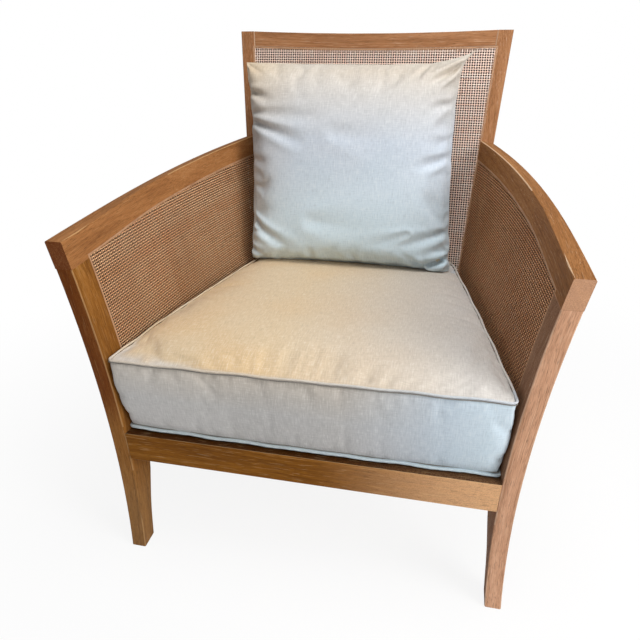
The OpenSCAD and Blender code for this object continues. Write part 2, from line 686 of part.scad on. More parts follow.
// A point of the back's caned opening: t runs from side to side, b up the slope
function web_pt(t, b, depth) = let(
    w = lerp(open_low - rebate_w + sheet_gap, open_high + rebate_w - sheet_gap - crest_dip * (1 - t * t), b))
    back_pt(t * (back_end(w, depth) + rebate_w - sheet_gap), w, depth);
module back_cane(depth0, depth1) {
    color("burlywood") slab(
        [for (i = [-6 : 6]) [for (b = [0, 0.5, 1]) web_pt(i / 6, b, depth0)]],
        [for (i = [-6 : 6]) [for (b = [0, 0.5, 1]) web_pt(i / 6, b, depth1)]]);
}
bead_t = bead_w / (post_x(seat_rear_z) - post_t);
bead_v = bead_w / (open_high - open_low);
back_loop = concat([for (t = [-1, 0]) [t, 0]], [for (b = [0, 0.5]) [1, b]],
    [for (i = [6 : -1 : -5]) [i / 6, 1]], [for (b = [1, 0.5]) [-1, b]]);
module back_bead(floor, top) {
    rings = [for (q = back_loop) [for (k = bead_section(0, 1, floor, top))
        web_pt(q[0] * (1 - bead_t * k[0]), lerp(q[1], inset(q[1], bead_v), k[0]), k[1])]];
    color("tan") ring_loft(top < floor ? rings : [for (r = rings) [for (i = [4 : -1 : 0]) r[i]]]);
}

// Outline with four soft corners, drawn anticlockwise; each side bows out by its own amount
function toward(p, q) = (q - p) / norm(q - p);
function outline(c, r, bows, nc, ns) = [for (k = [0 : 3]) let(p = c[k], next = c[(k + 1) % 4],
    a = p + r * toward(p, c[(k + 3) % 4]), b = p + r * toward(p, next), e = next + r * toward(next, p),
    way = toward(p, next), out = [way[1], -way[0]]) each concat(
        [for (i = [0 : nc - 1]) let(t = i / (nc - 1)) pow(1 - t, 2) * a + 2 * t * (1 - t) * p + t * t * b],
        [for (i = [1 : ns - 1]) let(t = i / ns) lerp(b, e, t) + out * bows[k] * 4 * t * (1 - t)])];

// Boxed seat cushion: a ring at a height above the deck, set in from the top edge's outline.
// The crown sinks towards the rear, where the pillow stands.
cushion_half_f = overall_w / 2 - cushion_in_f;
cushion_half_r = overall_w / 2 - cushion_in_r;
cushion_rear_y = back_y(seat_rear_z + cushion_h) - 4;
crown_from = 170;
crown_run = 106;
function crown(y) = 1 - 0.65 * smooth((y - cushion_rear_y + crown_from) / crown_run);
function cushion_ring(in, h, nc, ns) = let(up = unit(h / cushion_h), tuck = cushion_tuck * (1 - up) + in,
    hf = cushion_half_f - tuck, hr = cushion_half_r - tuck,
    yf = front_y + 5 + cushion_lean * (1 - up) + in,
    yr = back_y(seat_rear_z + min(h, cushion_h)) - 4 - in, puff = 3 * sin(180 * up),
    soft = max(0, 1 - in / 60), side = 4 * up - 1 + puff / 2)
    [for (p = outline([[-hf, yf], [hf, yf], [hr, yr], [-hr, yr]], cushion_r,
        soft * [2 + puff, side, 0, side], nc, ns))
        [p[0], p[1], seat_z(p[1]) + soft_fit + min(h, cushion_h) + max(0, h - cushion_h) * crown(p[1])]];
cushion_top = cushion_h + cushion_crown;
function welt(h) = let(r = welt_d / 2) [[1.5, h - r], [-1, h - r * 0.7], [-r * 0.8, h], [-1, h + r * 0.7], [1.5, h + r]];
cushion_profile = concat([[60, 0], [9, 0.6]], welt(welt_d), [[1, 26], [-2, cushion_h / 2], [1, cushion_h - 20]],
    welt(cushion_h), [for (p = [[9, 0.3], [34, 0.6], [84, 0.9], [170, 1]]) [p[0], cushion_h + p[1] * cushion_crown]]);
cushion_lining = concat([[60, 0], [10, 1], [5, 12], [4, 40], [2, cushion_h / 2], [4, cushion_h - 30], [6, cushion_h - 6]],
    [for (p = [[10, 0.1], [34, 0.4], [84, 0.7], [170, 0.85]]) [p[0], cushion_h + p[1] * cushion_crown]]);
module cushion_lining_solid(gap) {
    fan_loft([for (p = cushion_lining) cushion_ring(p[0] + gap,
        p[1] < cushion_h / 2 ? max(cover_t, p[1]) + gap : min(cushion_top - cover_t, p[1]) - gap, 3, 4)]);
}
module seat_cushion_cover() {
    color("lightsteelblue") difference() {
        fan_loft([for (p = cushion_profile) cushion_ring(p[0], p[1], 4, 8)]);
        cushion_lining_solid(0);
    }
}
module seat_cushion_core() {
    color("ivory") cushion_lining_solid(soft_fit);
}

// Knife-edged pillow, leaning on the back and standing on the seat cushion
seam_t = 1.6;
pillow_rest = 0.3;
pillow_settle = 2.2;
pillow_w = 2 * back_half - pillow_in;
pillow_y = back_y(seat_rear_z + cushion_top) - pillow_t / 2 / cos(recline);
pillow_foot_z = seat_z(pillow_y) + cushion_h + cushion_crown * crown(pillow_y) - pillow_settle;
pillow_depth = sheet_lift - pillow_rest - (pillow_t - seam_t) / 2;
pillow_mid_w = (pillow_foot_z + pillow_depth * sin(recline)) / cos(recline) + pillow_h / 2;
function pillow_pt(u, v, side, less) = let(a = pillow_w / 2 * (0.985 + 0.015 * v) - less, b = pillow_h / 2 - less,
    pull = ear_pull * pow((1 + u) * (1 + v) / 4, 5),
    x = u * (a - pillow_draw * (u > 0 ? 1.4 : 0.8) * (1 - v * v)) + pull * 0.1,
    w = v * (b - pillow_draw * (v > 0 ? 0.2 : 0.85) * (1 - u * u)) + pull,
    t = seam_t / 2 * (less > 0 ? 0.4 : 1) + (pillow_t / 2 - seam_t - less) * pow((1 - u * u) * (1 - v * v), 0.42))
    back_pt(x - pillow_shift - 4.5 * v, pillow_mid_w + w, pillow_depth - side * t);
function pillow_grid(n, side, less) = [for (i = [-n : n]) [for (j = [-n : n])
    pillow_pt(sin(90 * i / n), sin(90 * j / n), side, less)]];
module pillow_solid(n, less) {
    slab(pillow_grid(n, 1, less), pillow_grid(n, -1, less));
}
module back_pillow_cover() {
    color("lightsteelblue") difference() {
        pillow_solid(8, 0);
        pillow_solid(4, cover_t + 1);
    }
}
module back_pillow_filling() {
    color("ivory") pillow_solid(4, cover_t + 2);
}

module corner_blocks() {
    color("burlywood") for (side = [0, 1]) mirror([side, 0, 0]) corner_block_pair();
}
module corner_block_screws() {
    color("silver") for (side = [0, 1]) mirror([side, 0, 0]) block_screw_set(0);
}
module cleat_screws() {
    color("silver") for (side = [0, 1]) mirror([side, 0, 0]) cleat_screw_set(0);
}
module slat_screws() {
    color("silver") for (side = [0, 1]) mirror([side, 0, 0]) slat_screw_set(0);
}
module arm_cane_inner() {
    arm_cane(arm_t - sheet_lift - cane_t, arm_t - sheet_lift);
}
module arm_cane_outer() {
    arm_cane(sheet_lift, sheet_lift + cane_t);
}
module arm_bead_inner() {
    arm_bead(arm_t - bead_floor, arm_t + bead_proud);
}
module arm_bead_outer() {
    arm_bead(bead_floor, -bead_proud);
}
module back_cane_front() {
    back_cane(sheet_lift, sheet_lift + cane_t);
}
module back_cane_rear() {
    back_cane(back_rail_t - sheet_lift - cane_t, back_rail_t - sheet_lift);
}
module back_bead_front() {
    back_bead(bead_floor, -bead_proud);
}
module back_bead_rear() {
    back_bead(back_rail_t - bead_floor, back_rail_t + bead_proud);
}
module arm_dowels() {
    color("burlywood") for (side = [0, 1]) mirror([side, 0, 0]) {
        leg_dowels(dowel_d, dowel_l);
        post_dowels(dowel_d, dowel_l);
    }
}
module foot_glides() {
    color("dimgray") for (side = [0, 1]) mirror([side, 0, 0]) {
        translate(front_glide) glide(0);
        translate(rear_glide) glide(0);
    }
}
module pair(side) {
    mirror([side == "left" ? 1 : 0, 0, 0]) children();
}

pair("left") front_leg();  // front_leg_left
pair("right") front_leg();  // front_leg_right
pair("left") rear_leg();  // rear_leg_left
pair("right") rear_leg();  // rear_leg_right
pair("left") arm_rail();  // arm_rail_left
pair("right") arm_rail();  // arm_rail_right
pair("left") side_rail();  // side_rail_left
pair("right") side_rail();  // side_rail_right
front_rail();
rear_rail();
back_top_rail();
back_lower_rail();
arm_dowels();
corner_blocks();
corner_block_screws();
pair("left") seat_cleat();  // cleat_left
pair("right") seat_cleat();  // cleat_right
cleat_screws();
seat_slats();
slat_screws();
pair("left") arm_cane_inner();  // arm_cane_inner_left
pair("right") arm_cane_inner();  // arm_cane_inner_right
pair("left") arm_cane_outer();  // arm_cane_outer_left
pair("right") arm_cane_outer();  // arm_cane_outer_right
pair("left") arm_bead_inner();  // arm_bead_inner_left
pair("right") arm_bead_inner();  // arm_bead_inner_right
pair("left") arm_bead_outer();  // arm_bead_outer_left
pair("right") arm_bead_outer();  // arm_bead_outer_right
back_cane_front();
back_cane_rear();
back_bead_front();
back_bead_rear();
foot_glides();
seat_cushion_cover();
seat_cushion_core();
back_pillow_cover();
back_pillow_filling();
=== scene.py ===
import math

import bmesh
import bpy
import numpy as np
from mathutils import Matrix, Vector


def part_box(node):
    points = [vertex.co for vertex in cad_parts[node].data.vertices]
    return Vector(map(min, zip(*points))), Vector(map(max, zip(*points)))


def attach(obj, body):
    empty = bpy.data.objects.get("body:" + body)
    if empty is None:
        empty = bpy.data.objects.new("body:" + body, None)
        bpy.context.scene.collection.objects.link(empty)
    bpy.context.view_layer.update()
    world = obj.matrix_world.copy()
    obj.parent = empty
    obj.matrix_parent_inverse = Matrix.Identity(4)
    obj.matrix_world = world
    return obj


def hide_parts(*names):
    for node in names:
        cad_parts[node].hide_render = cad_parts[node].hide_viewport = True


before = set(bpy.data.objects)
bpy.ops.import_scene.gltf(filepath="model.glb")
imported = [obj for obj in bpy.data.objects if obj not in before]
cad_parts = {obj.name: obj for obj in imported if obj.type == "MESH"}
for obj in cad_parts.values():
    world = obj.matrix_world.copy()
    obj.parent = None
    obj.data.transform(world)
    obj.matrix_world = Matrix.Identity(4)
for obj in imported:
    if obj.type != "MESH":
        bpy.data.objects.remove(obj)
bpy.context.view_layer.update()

# The photograph's view: taken by someone standing in front of the chair and a little to its right,
# looking down at the seat. The photograph is square, so its width and height use one focal length.
def placed(name, data):
    """A new object, put into the scene."""
    made = bpy.data.objects.new(name, data)
    bpy.context.scene.collection.objects.link(made)
    return made


def mesh_of(name, points, faces):
    mesh = bpy.data.meshes.new(name)
    mesh.from_pydata(points, [], faces)
    return mesh


view_yaw, view_pitch, view_roll = math.radians(-12.90), math.radians(27.83), math.radians(-0.91)
eye = (0.190, -1.076, 0.910)
ahead = Vector((math.sin(view_yaw) * math.cos(view_pitch), math.cos(view_yaw) * math.cos(view_pitch),
                -math.sin(view_pitch)))
level = Vector((math.cos(view_yaw), -math.sin(view_yaw), 0))
upright = level.cross(ahead)
right = math.cos(view_roll) * level + math.sin(view_roll) * upright
up = -math.sin(view_roll) * level + math.cos(view_roll) * upright
camera_data = bpy.data.cameras.new("photograph_view")
camera_data.sensor_width = 36
camera_data.lens = 33.75
camera_data.shift_x = 0.0072
camera_data.clip_start = 0.02
camera = placed("photograph_view", camera_data)
camera.matrix_world = Matrix([(right[k], up[k], -ahead[k], eye[k]) for k in range(3)] + [(0, 0, 0, 1)])
bpy.context.scene.camera = camera
bpy.context.scene.view_settings.view_transform = "Standard"


# The room: a plain white floor that runs out of sight and a soft white surround. The floor keeps
# the chair's shadow, and looks white to the camera. Two classes first turn sums into shader nodes.
class Term:
    """One value in a finish's recipe. Sums written with it become Math nodes."""

    def __init__(self, finish, socket):
        self.finish, self.socket = finish, socket

    def maths(self, operation, *terms):
        return self.finish.node("Math", {"operation": operation}, dict(enumerate(terms)))

    def __add__(self, other):
        return self.maths("ADD", self, other)

    __radd__ = __add__

    def __sub__(self, other):
        return self.maths("SUBTRACT", self, other)

    def __rsub__(self, other):
        return self.maths("SUBTRACT", other, self)

    def __mul__(self, other):
        return self.maths("MULTIPLY", self, other)

    __rmul__ = __mul__

    def __truediv__(self, other):
        return self.maths("DIVIDE", self, other)

    def whole(self):
        return self.maths("FLOOR", self)

    def sine(self):
        return self.maths("SINE", self)

    def size(self):
        return self.maths("ABSOLUTE", self)

    def larger(self, other):
        return self.maths("MAXIMUM", self, other)


class Finish:
    """A material in the making. node() adds any node: its settings first, then its sockets."""

    def __init__(self, name, tree=None):
        if tree is None:
            self.material = bpy.data.materials.new(name)
            self.material.use_nodes = True
            tree = self.material.node_tree
        self.tree = tree
        self.tree.nodes.clear()

    def node(self, kind, settings=None, sockets=None, output=0):
        made = self.tree.nodes.new("ShaderNode" + kind)
        for key, value in (settings or {}).items():
            if key == "stops":
                ramp = made.color_ramp.elements
                while len(ramp) < len(value):
                    ramp.new(0.5)
                for stop, (place, colour) in zip(ramp, value):
                    stop.position, stop.color = place, (*colour, 1)
            else:
                setattr(made, key, value)
        for key, value in (sockets or {}).items():
            socket = made.inputs[key]
            if isinstance(value, Term):
                self.tree.links.new(value.socket, socket)
            elif socket.type == "RGBA":
                socket.default_value = (*value, 1)
            else:
                socket.default_value = value
        return Term(self, made.outputs[output]) if len(made.outputs) else None

    def blend(self, amount, first, second):
        return self.node("Mix", {"data_type": "RGBA"}, {0: amount, 6: first, 7: second}, 2)

    def vector(self, operation, *terms, output="Vector"):
        return self.node("VectorMath", {"operation": operation}, dict(enumerate(terms)), output)

    def parts(self, vector):
        split = self.tree.nodes.new("ShaderNodeSeparateXYZ")
        self.tree.links.new(vector.socket, split.inputs[0])
        return [Term(self, socket) for socket in split.outputs]

    def place(self):
        return self.node("TexCoord", {}, {}, "Object")

    def stored(self, name, output="Fac"):
        return self.node("Attribute", {"attribute_name": name}, {}, output)

    def facing(self, way):
        return self.vector("DOT_PRODUCT", self.node("NewGeometry", {}, {}, "True Normal"), way, output="Value")

    def noise(self, place, scale=1.0, detail=2.0, roughness=0.5, output=0):
        return self.node("TexNoise", {}, {
            "Vector": place, "Scale": scale, "Detail": detail, "Roughness": roughness}, output)

    def streaks(self, place, scales, detail=2.0, roughness=0.5, output=0):
        return self.noise(self.vector("MULTIPLY", place, scales), 1.0, detail, roughness, output)

    def step(self, value, low, high):
        return self.node("MapRange", {"interpolation_type": "SMOOTHSTEP"}, {
            "Value": value, "From Min": low, "From Max": high})

    def bump(self, strength, distance, height):
        return self.node("Bump", {}, {"Strength": strength, "Distance": distance, "Height": height})

    def surface(self, colour, rough, normal=None, metal=0.0, **more):
        sockets = {"Base Color": colour, "Roughness": rough, "Metallic": metal}
        if normal:
            sockets["Normal"] = normal
        sockets.update((name.replace("_", " "), value) for name, value in more.items())
        self.node("OutputMaterial", {}, {"Surface": self.node("BsdfPrincipled", {}, sockets)})
        return self.material


floor_finish = Finish("pale_floor")
floor_matt = floor_finish.node("BsdfDiffuse", {}, {"Color": (0.90, 0.90, 0.90)})
floor_white = floor_finish.node("Emission", {}, {"Color": (1, 1, 1), "Strength": 1.0})
floor_far = floor_finish.step(floor_finish.vector("LENGTH", floor_finish.place(), output="Value"), 0.40, 1.3)
white_share = floor_finish.node("LightPath", {}, {}, "Is Camera Ray") * (floor_far * 0.12 + 0.88)
floor_finish.node("OutputMaterial", {}, {"Surface": floor_finish.node("MixShader", {}, {
    0: white_share, 1: floor_matt, 2: floor_white})})
floor_mesh = mesh_of("floor", [(-9, -9, 0), (9, -9, 0), (9, 9, 0), (-9, 9, 0)], [(0, 1, 2, 3)])
floor_mesh.materials.append(floor_finish.material)
floor = placed("floor", floor_mesh)

surround = bpy.data.worlds.new("soft_surround")
surround.use_nodes = True
bpy.context.scene.world = surround
surround_finish = Finish("soft_surround", surround.node_tree)
seen = surround_finish.node("LightPath", {}, {}, "Is Camera Ray").larger(
    surround_finish.node("LightPath", {}, {}, "Is Glossy Ray") * 0.30)
surround_finish.node("OutputWorld", {}, {"Surface": surround_finish.node("Background", {}, {
    "Color": (1, 1, 1), "Strength": seen.larger(0.21)})})


# The light: one broad soft lamp at the right, as a window is, a wide one overhead,
# and a faint one in front that keeps the shadowed sides readable.
def soft_lamp(name, place, target, size, power):
    lamp_data = bpy.data.lights.new(name, "AREA")
    lamp_data.shape = "DISK"
    lamp_data.size = size
    lamp_data.energy = power
    lamp = placed(name, lamp_data)
    lamp.location = place
    lamp.rotation_euler = (Vector(target) - Vector(place)).to_track_quat("-Z", "Y").to_euler()


soft_lamp("window", (1.45, -1.00, 1.20), (0.05, -0.05, 0.4), 0.9, 21)
soft_lamp("overhead", (0.30, -0.42, 2.35), (0, 0, 0.3), 1.3, 28)
soft_lamp("front", (0.5, -2.70, 1.00), (0, 0, 0.5), 1.4, 4.2)


# Legs and posts: four solid oak boards, sawn to their curves, stained brown and limed in the grain.
# The front legs are narrow and bowed; the rear posts run from the floor to the top of the back.
def oak(name, deep, warm, pale, lime, wear_and_highlight=0.26, stains_and_painted_light=()):
    """Oak along the grain attribute's third axis: rings, long fibres, dark pores and pale limed lines.
    A wash tints faces along one axis, unevenly: axis, start, end, share, tone, and the way its faces look.
    The washes carry painted light and painted shade, and stain; the narrow edges get rubbed wear and a painted
    highlight."""
    finish = Finish(name)
    grain = finish.stored("grain", "Vector")
    drift = finish.streaks(grain, (7, 7, 3.0), 3.0, 0.5, "Color")
    bent = finish.vector("MULTIPLY_ADD", drift, (0.022, 0.022, 0.0), grain)
    from_pith = finish.vector("LENGTH", finish.vector(
        "MULTIPLY", finish.vector("ADD", bent, (0.045, 0.026, 0)), (1, 1, 0.03)), output="Value")
    rings = finish.noise(finish.node("CombineXYZ", {}, {0: from_pith * 330, 1: 0.0, 2: 0.0}), 1.0, 2.0, 0.6)
    late = finish.step(rings, 0.52, 0.72)
    broad = finish.streaks(bent, (45, 45, 4), 3.0, 0.6)
    fibre = finish.streaks(bent, (1100, 1100, 26), 2.0, 0.6)
    pores = finish.step(finish.streaks(bent, (1500, 1500, 70), 1.0), 0.585, 0.70)
    limed = finish.step(finish.streaks(finish.vector("ADD", bent, (0.3, 0.2, 0.1)), (850, 850, 30), 1.0),
                        0.60, 0.70) * finish.step(rings, 0.42, 0.58)
    ramp = finish.node("ValToRGB", {"stops": [(0.0, deep), (0.45, warm), (1.0, pale)]}, {
        0: finish.step(rings * 0.34 + broad * 0.36 + fibre * 0.34, 0.30, 0.80)})
    toned = finish.blend(late * 0.30, ramp, tuple(c * 0.6 for c in deep))
    place = finish.place()
    spread = finish.parts(place)
    speck = finish.step(finish.noise(place, 520.0, 2.0, 0.7), 0.40, 0.62)
    for axis, start, end, share, tone, look in stains_and_painted_light:
        amount = finish.step(spread[axis], start, end) * share * (1 - speck * 0.22)
        if look:
            amount = amount * finish.step(finish.facing(look), 0.70, 0.90)
        toned = finish.blend(amount, toned, tone)
    dark = finish.blend(pores * 0.60, toned, finish.blend(0.72, toned, (0.0, 0.0, 0.0)))
    # Narrow chamfer faces lighten towards the lime tone: rubbed wear, and a painted highlight along the edges.
    rubbed_and_lit_edges = finish.stored("edge") * finish.step(finish.streaks(grain, (40, 40, 26), 3.0, 0.6), 0.15, 0.42)
    colour = finish.blend(rubbed_and_lit_edges * wear_and_highlight, finish.blend(limed * 0.55, dark, finish.blend(0.5, toned, lime)), lime)
    bump = finish.bump(0.35, 0.0005, fibre * 0.4 - pores * 0.65 + rings * 0.1)
    return finish.surface(colour, fibre * 0.14 + 0.50 + pores * 0.12, bump, Specular_IOR_Level=0.11)


def corners_of(mesh):
    co = np.zeros(len(mesh.vertices) * 3)
    mesh.vertices.foreach_get("co", co)
    return co.reshape(-1, 3)


def store(mesh, label, values, kind="FLOAT", domain="POINT"):
    """Writes one value for each point or face, for the finishes to read."""
    field = "vector" if kind == "FLOAT_VECTOR" else "value"
    mesh.attributes.new(label, kind, domain).data.foreach_set(field, np.ravel(values))


def cad_shape(name):
    """A CAD piece's shape for editing, its doubled points merged."""
    shape = bmesh.new()
    shape.from_mesh(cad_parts[name].data)
    bmesh.ops.remove_doubles(shape, verts=shape.verts, dist=1e-5)
    return shape


sharp_turn, smooth_turn, bevel_turn = math.radians(50), math.radians(52), math.radians(16)
shortest_edge, smallest_face, widest_bevel = 0.009, 6e-5, 0.0029


def board(name, finish, along, round_edges, follow=0.7, seed=0):
    """A copy of a CAD board with broken edges and the direction of its grain; it stands for the board."""
    mesh = bpy.data.meshes.new(name + "_board")
    shape = cad_shape(name)
    bmesh.ops.dissolve_limit(shape, angle_limit=math.radians(0.6), verts=shape.verts, edges=shape.edges)
    if round_edges:
        sharp = [e for e in shape.edges if e.is_manifold and e.is_convex
                 and e.calc_length() > shortest_edge and e.calc_face_angle(0) > sharp_turn
                 and min(f.calc_area() for f in e.link_faces) > smallest_face]
        bmesh.ops.bevel(shape, geom=sharp, offset=round_edges, segments=2, profile=0.5, affect="EDGES",
                        clamp_overlap=False)
    bmesh.ops.triangulate(shape, faces=[f for f in shape.faces if len(f.verts) > 4])
    for f in shape.faces:
        f.smooth = True
    for e in shape.edges:
        e.smooth = e.calc_face_angle(0) < smooth_turn
    shape.to_mesh(mesh)
    narrow = []
    for f in shape.faces:
        longest = max(f.edges, key=lambda e: e.calc_length())
        broken = longest.is_convex and longest.calc_face_angle(0) > bevel_turn
        wide = f.calc_area() / longest.calc_length() * (2 if len(f.verts) == 3 else 1)
        narrow.append(1.0 if broken and wide < widest_bevel else 0.0)
    parts, found = [0] * len(shape.verts), 0
    for start in shape.verts:
        if not start.tag:
            found += 1
            start.tag = True
            heap = [start]
            while heap:
                v = heap.pop()
                parts[v.index] = found
                for w in [e.other_vert(v) for e in v.link_edges]:
                    if not w.tag:
                        w.tag = True
                        heap.append(w)
    shape.free()
    co = corners_of(mesh)
    cross = [k for k in range(3) if k != along]
    run = co[:, along] - co[:, along].mean()
    grain = np.zeros_like(co)
    grain[:, 2] = co[:, along]
    for k, axis in enumerate(cross):
        bend = np.polyval(np.polyfit(run, co[:, axis], 3), run) if follow else 0
        grain[:, k] = co[:, axis] - follow * bend
    if "custom_normal" in mesh.attributes:
        mesh.attributes.remove(mesh.attributes["custom_normal"])
    store(mesh, "edge", narrow, domain="FACE")
    apart = (np.array(parts, float)[:, None] + seed * 3.7) * np.array([[0.137, 0.071, 0.313]])
    store(mesh, "grain", grain + apart, "FLOAT_VECTOR")
    mesh.materials.append(finish)
    piece = placed(name + "_board", mesh)
    soft = piece.modifiers.new("even_faces", "WEIGHTED_NORMAL")
    soft.weight = 90
    soft.keep_sharp = True
    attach(piece, "frame")
    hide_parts(name)
    return piece


lime_tan = (0.58, 0.36, 0.17)
everywhere = (-9, -8)
frontwards, leftwards, upwards = (0, -1, 0), (-1, 0, 0), (0, 0, 1)
oak_brown = oak("oak_brown", (0.100, 0.030, 0.003), (0.255, 0.096, 0.014), (0.43, 0.200, 0.052), lime_tan)
# The left front leg: painted shade on its front faces above 0.25 m, and the whole leg paler towards its foot.
oak_leg = oak("oak_leg", (0.105, 0.032, 0.004), (0.265, 0.104, 0.018), (0.44, 0.210, 0.060), lime_tan, 0.36, (
    (2, 0.25, 0.36, 0.70, (0.135, 0.022, 0.0005), frontwards), (2, 0.24, 0.10, 0.22, (0.52, 0.33, 0.15), None)))
# The right front leg: a paler, rosier copy of the oak, painted window light, with painted shade on its faces
# turned away from the window.
oak_painted_light_and_shade = oak("oak_painted_light_and_shade", (0.320, 0.150, 0.076), (0.600, 0.325, 0.195), (0.82, 0.510, 0.340),
               (0.88, 0.68, 0.50), stains_and_painted_light=((2, *everywhere, 0.80, (0.130, 0.055, 0.022), leftwards),))
oak_post = oak("oak_post", (0.175, 0.066, 0.022), (0.360, 0.164, 0.070), (0.52, 0.275, 0.138),
               (0.80, 0.60, 0.44), 0.5)
board("front_leg_left", oak_leg, 2, 0, seed=1)
board("front_leg_right", oak_painted_light_and_shade, 2, 0, seed=2)
board("rear_leg_left", oak_post, 2, 0, seed=3)
board("rear_leg_right", oak_post, 2, 0, seed=4)


# Seat frame: four stained oak rails tenoned into the legs and glued.
# The front rail lies flush with the legs; the rear rail stays rough behind the posts.
# The front rail: painted light, paler towards its right end on the window side, and painted shadow, near black,
# on its top face under the cushion.
oak_front = oak("oak_front", (0.105, 0.033, 0.001), (0.230, 0.080, 0.003), (0.42, 0.180, 0.026),
                (0.82, 0.58, 0.32), stains_and_painted_light=((0, 0.0, 0.31, 0.66, (1.00, 0.60, 0.33), None),
                                            (0, *everywhere, 0.95, (0.034, 0.008, 0.001), upwards)))
board("front_rail", oak_front, 0, 0.0006, seed=5)
board("side_rail_left", oak_brown, 1, 0.001, seed=6)
board("side_rail_right", oak_brown, 1, 0.001, seed=7)
board("rear_rail", oak_brown, 0, 0.001, seed=8)


# Inside the seat frame: glue blocks, cleats and eight loose-grained poplar slats, unstained.
# The cleats are screwed to the side rails, and the slats are screwed down on the cleats.
poplar = oak("poplar", (0.40, 0.275, 0.150), (0.56, 0.41, 0.245), (0.68, 0.53, 0.35), (0.75, 0.62, 0.45), 0.62)
for name, along in (("corner_blocks", 0), ("cleat_left", 1), ("cleat_right", 1), ("seat_slats", 0)):
    board(name, poplar, along, 0.0006, 0, seed=9 + along)


# Screws: zinc-plated countersunk steel screws in the blocks, the cleats and the slats.
# They are turned in by hand, so the plating is a little scratched.
def zinc_steel():
    finish = Finish("zinc_steel")
    place = finish.place()
    cloud = finish.noise(place, 260, 3.0, 0.6)
    scratch = finish.streaks(place, (2600, 300, 2600), 1.0)
    return finish.surface(finish.blend(cloud, (0.42, 0.42, 0.41), (0.62, 0.61, 0.57)),
                          cloud * 0.2 + scratch * 0.14 + 0.16, finish.bump(0.2, 0.0002, scratch), 1.0)


def dress(names, material):
    """Gives the CAD pieces that show as they are their finish."""
    for name in names:
        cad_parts[name].data.materials.clear()
        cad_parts[name].data.materials.append(material)


dress(("corner_block_screws", "cleat_screws", "slat_screws"), zinc_steel())


# Arms: two oak rails, bowed in plan and banked outwards, doweled onto the front legs
# and against the rear posts. The dowels are plain beech, hidden in the joints.
# The left arm's front end is darker: the end grain takes the stain darker, and painted shade on the end turned
# from the window. The right arm's front end is paler: painted light.
oak_arm_left = oak("oak_arm_left", (0.165, 0.060, 0.017), (0.340, 0.144, 0.048), (0.48, 0.235, 0.095),
                   lime_tan, 0.5, ((2, *everywhere, 0.80, (0.125, 0.020, 0.0005), frontwards),))
oak_arm_right = oak("oak_arm_right", (0.135, 0.050, 0.014), (0.305, 0.130, 0.042), (0.47, 0.230, 0.090),
                    (0.80, 0.58, 0.38), 0.7, ((2, *everywhere, 0.66, (0.70, 0.40, 0.25), frontwards),))
board("arm_rail_left", oak_arm_left, 1, 0, seed=14)
board("arm_rail_right", oak_arm_right, 1, 0, seed=15)


def flecked(name, scales, detail, dark, pale, matt, swing, roughness=0.5, dents=0.0):
    """A plain finish: one noise gives it flecks of two tones, and makes it duller and dents it there."""
    finish = Finish(name)
    fleck = finish.streaks(finish.place(), scales, detail, roughness)
    return finish.surface(finish.blend(fleck, dark, pale), fleck * swing + matt,
                          finish.bump(dents, 0.0002, fleck) if dents else None)


dress(["arm_dowels"], flecked("beech", (900, 900, 120), 2.0, (0.46, 0.30, 0.17), (0.66, 0.48, 0.30), 0.6, 0.1))


# Back frame: a dipped top rail and a straight lower rail of oak, tenoned between the rear posts.
board("back_top_rail", oak_post, 0, 0.0004, seed=16)
board("back_lower_rail", oak_brown, 0, 0.001, seed=17)


